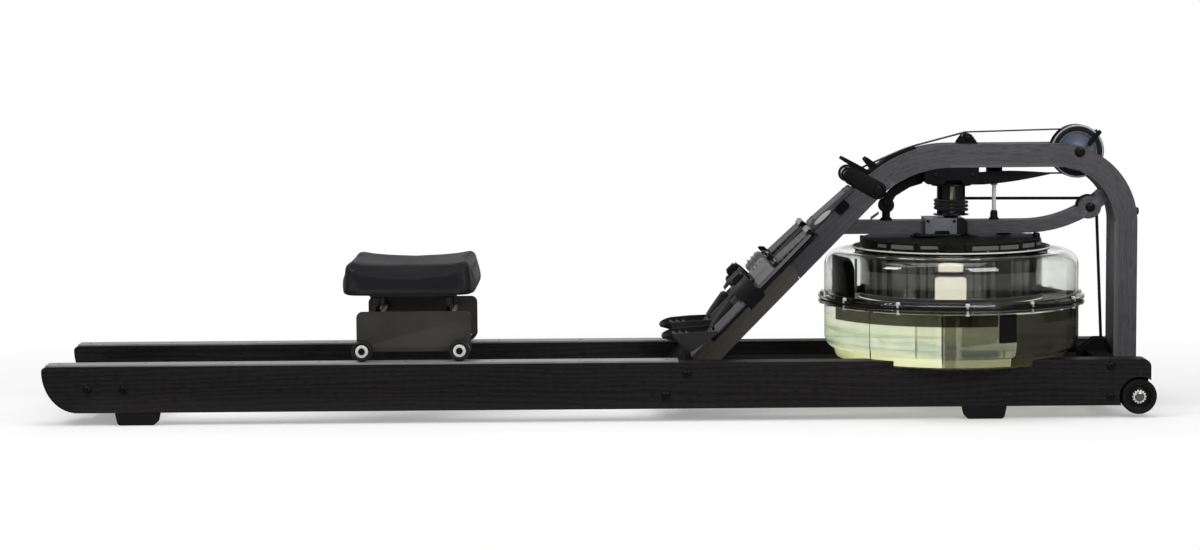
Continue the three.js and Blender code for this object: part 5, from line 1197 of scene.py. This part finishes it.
def handle_rest():
    stop, low, high = 479, 0.35, 4.3
    strip = slope_pairs([(444.3, low), (SLOPE_END, low)])
    strip += arc(*REAR_BEND[:2], REAR_BEND[2] + low, 135.5, 105.5, 16)
    strip += arc(*REAR_BEND[:2], REAR_BEND[2] + high, 105.8, 135.5, 16)
    strip += slope_pairs([(452, high), (444.9, high)])
    prong = fillet([(stop, 0.6), (stop + 12, 0.6), (stop + 4, 30), (stop - 5, 60), (stop - 12, 60)],
                   [0, 4, 40, 2.6, 2.6], 4)
    bump = fillet([(stop + 15, 0.6), (stop + 31, 0.6), (stop + 27, 26), (stop + 19, 26)], [0, 3, 3, 3], 4)
    saddle = [(447, 0.6), (stop + 0.3, 0.6), (stop + 0.3, 27.6), (447, 22.6)]
    tube = handle_place(0)
    hooks = [slope_prism(pairs, *span(side, 15, 23))
             for _, side in SIDES for pairs in (prong, bump, saddle)]
    piece("rest_hooks", prism(strip, -23, 23), black_plastic, "handle_rest", joins=hooks,
          cuts=[rod((tube.x, tube.z), 10.4, -60, 60, 40)], edge=0.7)
    piece("rest_screws", [socket_head(on_slope(along, 4.2), (-0.7133, 0, 0.7009), 3.6, 1.6)
                          for along in (450, 490)], bolt_black)


def tangent_turn(a, b):
    """The angle at which a line touches two circles, each given as (x, z, radius)."""
    dx, dz = b[0] - a[0], b[1] - a[1]
    turn = math.atan2(dz, dx) % (2 * math.pi)
    return turn + math.acos((a[2] - b[2]) / math.hypot(dx, dz)) - (2 * math.pi if turn > math.pi else 0)


def run_arc(stop, start, end, steps):
    return [Vector((x, 0, z)) for x, z in arc(*stop, math.degrees(start), math.degrees(end), steps)]


def run_line(a, b, steps, first=1, last=0):
    """Places on a line, by default without its first end and with its last."""
    return [a.lerp(b, k / steps) for k in range(first, steps + 1 - last)]


def straps():
    section, clamp_radius, spool_y = oblong(25, 2, 0.7), 13.4, -29.7
    tube = handle_place(0)
    end = (tube.x, tube.z, 0.0)
    bend = (REAR_BEND[0], REAR_BEND[1], REAR_BEND[2] + 5.6)
    guide, pulley = (*GUIDE, 10.3), (*TOP_PULLEY, 43.3)
    first, second, third = tangent_turn(end, bend), tangent_turn(bend, guide), tangent_turn(guide, pulley)
    touch = run_arc(bend, first, second, 48)
    start = Vector((end[0], 0, end[1]))
    begin = start + (touch[0] - start).normalized() * clamp_radius
    over = run_arc(guide, second, math.pi / 2, 8)
    free = run_line(begin, touch[0], 24, 0, 1) + touch + run_line(touch[-1], over[0], 20, 1, 1) + over
    strap = as_object("strap_stretch", sweep(free, section, ACROSS))
    shade(strap, 50)
    strap.data.materials.append(webbing)
    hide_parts("strap_free")
    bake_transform(strap)

    guide_end = [p + Vector((0.3, 0, 0)) for p in run_arc(guide, math.pi / 2, third, 6)]
    wrap = run_arc(pulley, third, -math.pi / 2, 72)
    leave = Vector((882, 0, TOP_PULLEY[1] - pulley[2]))
    lead_in, meet = Vector((746.5, spool_y, STRAP_Z)), Vector((708, spool_y, STRAP_Z))
    straight = guide_end + run_line(guide_end[-1], wrap[0], 16, 1, 1) + wrap + run_line(wrap[-1], leave, 8)
    steps = 48

    def across(i):
        turn = math.pi / 2 * min(max((i - len(straight) + 1) / steps, 0), 1)
        return Vector((0, math.cos(turn), math.sin(turn)))

    places = straight + run_line(leave, lead_in, steps) + run_line(lead_in, meet, 8)
    piece("strap_over", sweep(places, section, across), webbing, "strap_run")


def cord():
    radius, lead_x, fixed_z = 16.3, 934, 67.7
    begin = Vector((711, 30.8, 405.7))
    rise = math.atan2(ARM_PULLEY[1] + radius - 405.7, ARM_PULLEY[0] - 711)
    drop = math.atan2(LOW_PULLEY[0] - ARM_PULLEY[0], ARM_PULLEY[1] - LOW_PULLEY[1])
    over = run_arc((*ARM_PULLEY, radius), math.pi / 2 + rise / 2, drop, 24)
    under = run_arc((*LOW_PULLEY, radius), drop, -math.pi / 2, 24)
    lead = Vector((lead_x, 0, over[0].z + (lead_x - over[0].x) * math.tan(rise)))
    finish = Vector((250.9 + (fixed_z + 3 - RAIL_TOP) / math.tan(SLOPE), 0, fixed_z))
    path = run_line(begin, lead, 10, 0) + over + run_line(over[-1], under[0], 12, 1, 1)
    path += under + run_line(under[-1], finish, 24)
    piece("cord_line", sweep(path, circle(3, 14), ACROSS), cord_look, "cord_run")


# Foot rests

SLOPE_TURN = Matrix.Rotation(-SLOPE, 4, "Y")
SOLE = 15.6
FOOT_IN, FOOT_OUT = 50, 148


def on_slope_plate(outline, low, high, along, off, y=0.0):
    """A plate that lies on the slope: its outline is along the slope and across it."""
    return moved(plate(outline, low, high), Matrix.Translation(on_slope(along, off, y)) @ SLOPE_TURN)


def foot_base():
    base = on_slope_plate(fillet(block(46, 332, -148, 148), 10, 4), 0.35, 6.3, 0, 0)
    piece("foot_base_plate", base, foot_dark, "foot_base", edge=0.8)
    cover = [(332.4, 0.6), (443.6, 0.6), (443.6, 7), (440, 9.3), (336, 17), (332.4, 14.5)]
    piece("slope_cover", slope_prism(cover, -43, 43, [0, 0, 2.5, 3, 4, 2.5], 4), cover_grey, edge=2.0)
    piece("cover_seam", [slope_box(334, 442, 0.5, 1.3, *span(side, 42.6, 43.5)) for _, side in SIDES],
          foot_dark)
    oval = [(362 + 20.895 * math.cos(t) + 0.46 * math.sin(t), 7.6 - 1.575 * math.cos(t) + 4.6 * math.sin(t))
            for t in turns(48)]
    for name, side in SIDES:
        piece(f"cover_badge_{name}", slope_prism(oval, *span(side, 42.6, 44.0)), badge, edge=0.5)
        piece(f"cover_clip_{name}", slope_box(388, 416, -16, 3, *span(side, 43.3, 46.4), [6, 6, 2, 2], 4),
              black_plastic, edge=0.9)
    piece("cover_screws", [socket_head(on_slope(along, off, y), OFF, 3.4, 1.6)
                           for along, off in ((346, 16.0), (430, 9.8)) for y in (-30, 30)], bolt_black)


def toe_shape(side):
    sections = []
    for share in (0.0, 0.04, 0.12, 0.3, 0.5, 0.68, 0.82, 0.92, 0.975, 1.0):
        high = 1.0 - 0.34 * max(share - 0.42, 0) / 0.58 - (0.05 if share in (0.0, 1.0) else 0.0)
        sections.append((side * (FOOT_IN + 98 * share), fillet(
            [(184.5, SOLE - 1), (184.5, SOLE + 21.4 * high), (226.5, SOLE + 25.6 * high), (228, SOLE - 1)],
            [0, 6, 7, 0], 5)))
    return slope_loft(sections)


def foot_rest(name, side):
    y0, y1 = span(side, FOOT_IN, FOOT_OUT)
    sole = slope_prism([(46, 9.4), (322, 9.4), (322, 14), (318, SOLE), (50, SOLE), (46, 13)], y0, y1,
                       [0, 0, 2, 2, 2, 2], 3)
    slots = [slope_box(s, s + 3.2, SOLE - 1.4, SOLE + 2, y0 + 9, y1 - 9) for s in np.arange(70, 136, 7.5)]
    rim = [(62, SOLE - 2), (136, SOLE - 2), (134, 21.6), (70, 21.6)]
    rims = [slope_prism(rim, *reach, [0, 0, 3, 4], 4) for reach in ((y0, y0 + 3.2), (y1 - 3.2, y1))]
    piece(f"foot_{name}_plate", sole, sole_grey, f"foot_plate_{name}", joins=rims, cuts=slots, edge=0.9)
    piece(f"foot_{name}_gap", slope_box(47, 321, 6.6, 9.3, y0 + 1.5, y1 - 1.5), foot_dark, edge=0.4)
    piece(f"foot_{name}_trim", slope_box(66, 178, 6.9, 8.5, *span(side, 146.6, 148.2), 0.5), bright_steel)
    piece(f"foot_{name}_toe", toe_shape(side), flap_grey, angle=50)
    ridges = [slope_prism([(s, SOLE + 14), (s + 2.4, SOLE + 14), (s + 2.4, SOLE + 26.6), (s, SOLE + 26.2)],
                          *span(side, 58, 92), [0, 0, 1, 1]) for s in (196, 206, 216)]
    piece(f"foot_{name}_toe_ridges", ridges, flap_grey, edge=0.5)
    bed = [(233.6, SOLE - 1), (236, 19.4), (322, 16.6), (322, SOLE - 1)]
    piece(f"foot_{name}_slider_bed", slope_prism(bed, y0 + 2, y1 - 2, [0, 3, 1, 0], 4), foot_dark, edge=0.6)
    bar = [(240, 15.2), (318, 12.0), (320, 18.0), (240, 22.0)]
    piece(f"foot_{name}_slider_bar", slope_prism(bar, *span(side, 52, 146), 3, 4), slider_grey, edge=1.2)
    cells = [slope_box(s, s + 1.6, 11.5, 34.0 - 0.05 * s, *span(side, 51.4, 146.6), 0.3, 1)
             for s in (251, 266, 281, 296, 309)]
    piece(f"foot_{name}_slider_cells", cells, sole_grey, edge=0.3)
    low = SOLE - 2
    caps = [slope_prism(pairs, *span(side, *reach), radii, 4) for pairs, reach, radii in (
        ([(230, low), (230, 47), (234, 47.6), (241, 40), (242.5, low)], (52, 60), [0, 3, 2, 4, 0]),
        ([(230, low), (230, 24), (240, 25), (242.5, low)], (51, 147), [0, 3, 3, 0]),
        ([(317.5, 10), (317.5, 20.6), (327.5, 22.4), (331, 18), (331, 10)], (51, 147), [0, 2, 3, 3, 0]))]
    piece(f"foot_{name}_slider_caps", caps, gloss_plastic, edge=1.0)
    at = on_slope(234.5, 38)
    piece(f"foot_{name}_ring", wheel(block(2.6, 5.2, side * 60.2, side * 62), (at.x, at.z), 32),
          bright_steel)


def heel_line(share, bulge):
    """A place on the line from the cup's front edge, 0, to its rear tip, 1."""
    front, rear = Vector((68.5, 9.5)), Vector((1.5 - 17 * bulge, 68.5 + 9.5 * bulge))
    return front.lerp(rear, share)


def heel_cup(side, middle, half):
    sections = []
    for share in (-1.0, -0.96, -0.905, -0.9, -0.8, -0.6, -0.4, -0.2, 0.0, 0.2, 0.4, 0.6, 0.8, 0.9, 0.905,
                  0.96, 1.0):
        bulge = math.sqrt(max(1 - share * share, 0))
        edge = abs(share) > 0.902
        first = 0.30 if edge else 0.10
        pairs = []
        for k in range(11):
            here = heel_line(first + (1 - first) * k / 10, bulge)
            sink = 11.0 * (1 - share ** 4) * math.sin(math.pi * min(0.08 + 0.92 * k / 10, 1.0)) ** 0.6
            pairs.append((here.x - 0.69 * sink, max(here.y - 0.72 * sink, 17.6)))
        tip = heel_line(1.0, bulge)
        pairs += [(tip.x - 2.6, tip.y - 1.4), (tip.x - 3.4, tip.y - 5), (4.5 - 7 * bulge, 44),
                  (6 - 4 * bulge, 26), (16, 23.4 if edge else 18.5), (30, 23.2 if edge else 16.3),
                  (46, 23.2 if edge else 16.3)]
        sections.append((side * (middle + half * share), pairs))
    return slope_loft(sections)


def heel_rest(name, side):
    inner, outer, body = 49.7, 148.3, f"heel_rest_{name}"
    middle = (inner + outer) / 2
    cup = heel_cup(side, middle, (outer - inner) / 2 + 1.0)
    piece(f"heel_{name}_cup", cup, foot_dark, body, body, angle=38)
    panel = [(2, 69), (36, 40), (69, 8.6), (62, 7.4), (4, 17.5), (0, 30), (-1, 58)]
    walls = [slope_prism(panel, *span(side, *reach), [3, 30, 3, 3, 6, 6, 4], 5)
             for reach in ((inner - 3, inner - 0.2), (outer + 0.2, outer + 3))]
    piece(f"heel_{name}_walls", walls, heel_grey, body=body, edge=0.9)
    links = [slope_prism([(8, 26), (40, 26), (30, 40), (10, 58)], *span(side, *reach), 2)
             for reach in ((inner - 0.6, inner + 0.8), (outer - 0.8, outer + 0.6))]
    piece(f"heel_{name}_links", links, foot_dark, body=body)
    ribs = [slope_prism([(s, 66 - s), (3.4 + s, 66 - s), (7.5 + s, 52 - s), (3 + s, 52 - s)],
                        *span(side, middle - 20, middle + 20), 0.8) for s in (0, 9, 18)]
    piece(f"heel_{name}_ribs", ribs, heel_grey, body=body, edge=0.4)
    tongue = []
    for share in (-1.0, -0.94, -0.6, 0.0, 0.6, 0.94, 1.0):
        swell = 1.0 - 0.55 * abs(share) ** 6
        tongue.append((side * (middle + 38 * share), [
            (60, 16.4), (62, 16.4 + 6 * swell), (76, 16.6 + 9 * swell), (98, 16.8 + 12.6 * swell),
            (114, 17 + 14.8 * swell), (120, 17 + 12 * swell), (121, 17)]))
    piece(f"heel_{name}_tongue", slope_loft(tongue), heel_pad, body=body, angle=50)


def foot_strap(name, side):
    middle, half = side * (FOOT_IN + FOOT_OUT) / 2, 47.4
    line = [(-half, SOLE + 0.5), (-half, 20), (-half + 1.2, 27), (-half + 5, 33), (-half + 12, 38),
            (-half + 22, 41), (0, 42)]
    line += [(-y, off) for y, off in line[-2::-1]]
    path = smooth_path([on_slope(158, off, middle + y) for y, off in line])
    piece(f"foot_strap_{name}_band", sweep(path, oblong(40, 2.6, 0.9), ALONG), webbing,
          f"foot_strap_{name}")
    tail = [(-8, 44.4), (4, 44.8), (18, 44.2), (28, 41.6), (37, 38.2), (44, 32), (49.0, 22), (50.2, 10),
            (50.4, -7.5)]
    path = smooth_path([on_slope(160, off, middle + side * y) for y, off in tail])
    piece(f"foot_strap_{name}_tail", sweep(path, oblong(38, 2.2, 0.8), ALONG), webbing)
    piece(f"foot_strap_{name}_anchor", slope_box(143.5, 181.5, -6, 15, *span(side, 150.9, 153.4), 4, 4),
          black_plastic, edge=0.9)
    buckle = [on_slope_plate(outline, low, high, 164, 44.8, middle + side * 4) for outline, low, high in (
        (fillet(block(-14, 14, -17, 17), 3), 0, 7.5), (fillet(block(-11, 9, -14, 14), 2.5), 7.2, 11.4))]
    piece(f"foot_strap_{name}_buckle", buckle, black_plastic, edge=1.2)
    pad = []
    for share in (-1.0, -0.95, -0.6, 0.0, 0.6, 0.95, 1.0):
        swell = 1.0 - 0.5 * abs(share) ** 6
        pad.append((middle + 30 * share, [
            (124, 33.6), (125.5, 33.8 + 1.6 * swell), (136, 34.2 + 4.2 * swell), (146, 36.0 + 4.6 * swell),
            (150, 36.4 + 3.2 * swell), (150, 36), (137, 34.2)]))
    piece(f"foot_strap_{name}_pad", slope_loft(pad), heel_pad, angle=50)


def foot_rests():
    for name, side in SIDES:
        foot_rest(name, side)
        heel_rest(name, side)
        foot_strap(name, side)


# Seat

PAD_X, PAD_HALF_X, PAD_HALF, PAD_BASE, PAD_HIGH = -364.5, 129.5, 165.0, 240.0, 62.5
SADDLE_DEEP, SADDLE_EDGE = 8.5, 16.5
SWELL, SEAM_AT, SEAM_WIDE, SEAM_DEEP = 5, 0.12, 0.03, 0.7


def seat_wheels():
    for place, x in zip(("rear", "front"), SEAT_AXLES):
        for name, side in SIDES:
            body, at = f"seat_wheel_{place}_{name}", (x, SEAT_AXLE_Z)
            tread, hub, cap = ([(radius, side * y) for radius, y in pairs] for pairs in (
                [(12.4, 159), (16.5, 158), (18.6, 158.5), (20, 161.5), (20, 174.5), (18.6, 177.4),
                 (16.5, 178), (13.4, 177.4), (12.4, 176)],
                [(4.3, 159), (12.2, 159), (12.2, 176.2), (11.5, 178.2), (5.8, 178.4), (5.6, 176.4),
                 (4.3, 176.4)],
                block(4.2, 5.7, 176.2, 177.2)))
            piece(f"{body}_tyre", wheel(tread, at, 72, 0.6), seat_tyre, body, body)
            piece(f"{body}_bearing", wheel(hub, at, 56), hub_bright, body=body)
            piece(f"{body}_seal", lathe(cap, at, "Y", 40), black_plastic, body=body)


def seat_carriage():
    outline = fillet(block(-464, -245, 132, 209), [2, 2, 12, 12], 6)
    for name, side in SIDES:
        y0, y1 = span(side, 141.8, 145.8)
        piece(f"seat_plate_{name}", prism(outline, y0, y1), plate_steel, "seat_chassis" if side < 0 else "",
              "seat", edge=0.9, cuts=[rod((x, SEAT_AXLE_Z), 4.2, y0 - 3, y1 + 3) for x in SEAT_AXLES])
    piece("seat_axles", [rod((x, SEAT_AXLE_Z), 4, -179.6, 179.6, 28) for x in SEAT_AXLES], bright_steel,
          body="seat")
    piece("seat_axle_clips", [rod((x, SEAT_AXLE_Z), 6.4, side * 178.9, side * 180.2, 28)
                              for x in SEAT_AXLES for _, side in SIDES], bolt_black, body="seat")


def seat_frame():
    posts = [(x, y) for x in SEAT_POSTS for y in (-96.0, 96.0)]
    piece("seat_tubes", [rod((x, 190), 9, -141.5, 141.5, 36) for x in SEAT_POSTS], dark_steel, "seat_frame",
          "seat")
    piece("seat_posts", [bore(6, 190, 235.5, 28, at) for at in posts], dark_chrome, body="seat")
    piece("seat_pan", plate(fillet(block(-444, -273, -112, 112), 14, 5), 234.7, 239.7), plate_steel,
          body="seat", edge=1.0)
    piece("seat_post_flanges", [upright(block(6.2, 13, 230.4, 234.6), 28, 0.8, 2, at) for at in posts],
          dark_steel, body="seat")


def pad_rise(u, v):
    """The saddle's height above the pad's base, at shares of its half length and half width."""
    edge = max(min(abs(v), 1) - 0.62, 0) / 0.38
    return PAD_HIGH - (SADDLE_DEEP + SADDLE_EDGE * edge * edge) * (1 - min(u * u, 1))


def pad_shape(shrink):
    """Rings of a rounded outline stacked from the flat base over the rolled edge to the saddle."""
    rings = []
    for size, share in (
            (0.02, 0), (0.35, 0), (0.7, 0), (0.9, 0), (0.97, 0), (0.992, 0.015), (1.0, 0.07), (1.0, 0.16),
            (0.998, 0.32), (0.995, 0.5), (0.992, 0.66), (0.99, 0.8), (0.987, 0.9), (0.98, 0.955),
            (0.965, 0.985), (0.94, 1.0), (0.89, 1.0), (0.85, 0.995), (0.8, 0.98), (0.74, 0.972),
            (0.62, 0.97), (0.45, 0.97), (0.3, 0.97), (0.1, 0.97)):
        rings.append([])
        for turn in turns(96):
            u, v = (size * math.copysign(abs(a) ** 0.23, a) for a in (math.cos(turn), math.sin(turn)))
            rings[-1].append((PAD_X + (PAD_HALF_X - shrink) * u, (PAD_HALF - shrink) * v,
                              PAD_BASE + shrink * 0.2 + (pad_rise(u, v) - shrink) * share))
    return loft(rings)


def swell_pad(made):
    """Fills the cushion as cloth under pressure, held at its base."""
    start = [v.co.copy() for v in made.data.vertices]
    group = made.vertex_groups.new(name="held")
    group.add([v.index for v in made.data.vertices if v.co.z < (PAD_BASE + 5) * MM], 1.0, "REPLACE")
    settings = made.modifiers.new("swell", "CLOTH").settings
    settings.use_pressure, settings.uniform_pressure_force = True, 4.0
    settings.vertex_group_mass = "held"
    settings.effector_weights.gravity = 0.0
    for step in range(1, 21):
        bpy.context.scene.frame_set(step)
    bake_modifiers(made)
    bpy.context.scene.frame_set(1)
    for vertex, before in zip(made.data.vertices, start):
        move = vertex.co - before
        if move.length > SWELL * MM:
            vertex.co = before + move.normalized() * SWELL * MM


def seat_pad():
    made = as_object("seat_cushion", pad_shape(2.4))
    remesh = made.modifiers.new("even", "REMESH")
    remesh.mode, remesh.voxel_size = "VOXEL", 5 * MM
    bake_modifiers(made)
    swell_pad(made)
    step = made.modifiers.new("fine", "SUBSURF")
    step.levels = step.render_levels = 1
    bake_modifiers(made)
    for vertex in made.data.vertices:
        co = vertex.co
        u, v = (co.x / MM - PAD_X) / PAD_HALF_X, co.y / MM / PAD_HALF
        share = (co.z / MM - PAD_BASE) / pad_rise(min(abs(u), 1), min(abs(v), 1))
        if (u ** 4 + v ** 4) ** 0.25 > 0.85:
            groove = math.exp(-((share - SEAM_AT) / SEAM_WIDE) ** 2)
            vertex.co = co + Vector((-u, -v, 0)).normalized() * groove * SEAM_DEEP * MM
        co.z = max(co.z, (PAD_BASE + 0.05) * MM)
        co.x = min(max(co.x, (PAD_X - PAD_HALF_X - 1) * MM), (PAD_X + PAD_HALF_X + 1) * MM)
        co.y = min(max(co.y, -(PAD_HALF + 1) * MM), (PAD_HALF + 1) * MM)
    store_lay(made.data, [tuple(v.co / MM) for v in made.data.vertices])
    shade(made, 80)
    dress(made, seat_skin, "seat", "seat_pad")


for build in (rails, floor_pads, cross_members, arch, shaft_arm, pulleys, low_bracket, transport_wheels,
              spool, shaft_parts, bearing, cage, stay, brace, tank_shells, tank_inside, tank_lid,
              tank_water, handle, handle_rest, straps, cord, foot_base, seat_wheels, seat_carriage,
              seat_frame, seat_pad, foot_rests):
    build()


# Camera, floor and light

scene = bpy.context.scene
scene.view_settings.view_transform = "Standard"
camera = bpy.data.objects.new("camera", bpy.data.cameras.new("camera"))
camera.data.lens, camera.data.sensor_width = 83.62, 36.0
camera.matrix_world = (Matrix.Translation((0.0025, -5.440, 0.776))
                       @ Matrix.Rotation(math.radians(90 - 5.392), 4, "X")
                       @ Matrix.Rotation(math.radians(-0.452), 4, "Z"))
scene.collection.objects.link(camera)
scene.camera = camera


def add_floor():
    """A pale floor that fades to plain white away from the machine, and that mirrors show dim."""
    size, drop = 60.0, -0.0006
    mesh = bpy.data.meshes.new("floor")
    mesh.from_pydata([(x, y, drop) for x, y in block(-size, size, -size, size)], [], [(0, 1, 2, 3)])
    made = bpy.data.objects.new("floor", mesh)
    scene.collection.objects.link(made)
    material = bpy.data.materials.new("floor")
    nodes = Nodes(material)
    nodes.tree.nodes.clear()
    length = nodes.node("VectorMath", {0: nodes.scaled(nodes.place(), 0.55, 0.9, 1.0)}, operation="LENGTH")
    reach = nodes.graded(length.outputs["Value"], 0.45, 1.3, 0.3, 1.0)
    diffuse = nodes.node("BsdfDiffuse", {"Color": (0.86, 0.86, 0.86, 1)}).outputs[0]
    white, dim = (nodes.node("Emission", {"Strength": strength}).outputs[0] for strength in (1.0, 0.14))
    rays = nodes.node("LightPath").outputs
    mirrored = nodes.math("SUBTRACT", rays["Is Glossy Ray"], rays["Is Transmission Ray"], clamp=True)
    shader = nodes.blended(mirrored, nodes.blended(reach, diffuse, white), dim)
    nodes.node("OutputMaterial", {"Surface": shader})
    mesh.materials.append(material)


def add_world():
    """White to the camera; to mirrors and through clear walls, a bright band low at the back."""
    world = bpy.data.worlds.new("studio")
    scene.world = world
    nodes = Nodes(world)
    nodes.tree.nodes.clear()
    parts = nodes.node("SeparateXYZ", {0: nodes.node("TexCoord").outputs["Generated"]}).outputs

    def backdrop(value, strength=1.0):
        grey = value if isinstance(value, bpy.types.NodeSocket) else (value, value, value, 1)
        return nodes.node("Background", {"Color": grey, "Strength": strength}).outputs[0]

    bright = nodes.math("MULTIPLY", nodes.graded(parts["Y"], 0.55, 0.95),
                        nodes.graded(parts["Z"], 0.12, 0.45, 1.0, 0.0))
    mirrored = nodes.math("MAXIMUM", bright, nodes.graded(parts["Z"], 0.3, 1.0, 0.10, 0.25))
    rays = nodes.node("LightPath").outputs
    shader = nodes.blended(rays["Is Glossy Ray"], backdrop(1.0, 0.30), backdrop(mirrored))
    shader = nodes.blended(rays["Is Transmission Ray"], shader, backdrop(bright))
    shader = nodes.blended(rays["Is Camera Ray"], shader, backdrop(1.0))
    nodes.node("OutputWorld", {"Surface": shader})


def add_light(name, place, aim, size, watts, tall=None, mirrored=True):
    data = bpy.data.lights.new(name, "AREA")
    data.energy, data.size = watts, size
    if tall:
        data.shape, data.size_y = "RECTANGLE", tall
    made = bpy.data.objects.new(name, data)
    made.location = place
    made.visible_glossy = mirrored
    made.rotation_euler = (Vector(aim) - Vector(place)).to_track_quat("-Z", "Y").to_euler()
    scene.collection.objects.link(made)


add_floor()
add_world()
add_light("soft_right", (1.6, -2.01, 1.70), (0.69, 0, 0.25), 1.1, 30)
add_light("soft_left", (-1.72, -1.12, 1.92), (0.0, 0, 0.2), 0.75, 22)
add_light("soft_back", (0.0, 2.5, 1.8), (0.2, 0, 0.2), 2.4, 20, 1.2, False)
add_light("soft_top", (0.1, -0.4, 2.6), (0.1, 0, 0), 2.6, 38, 1.4, False)
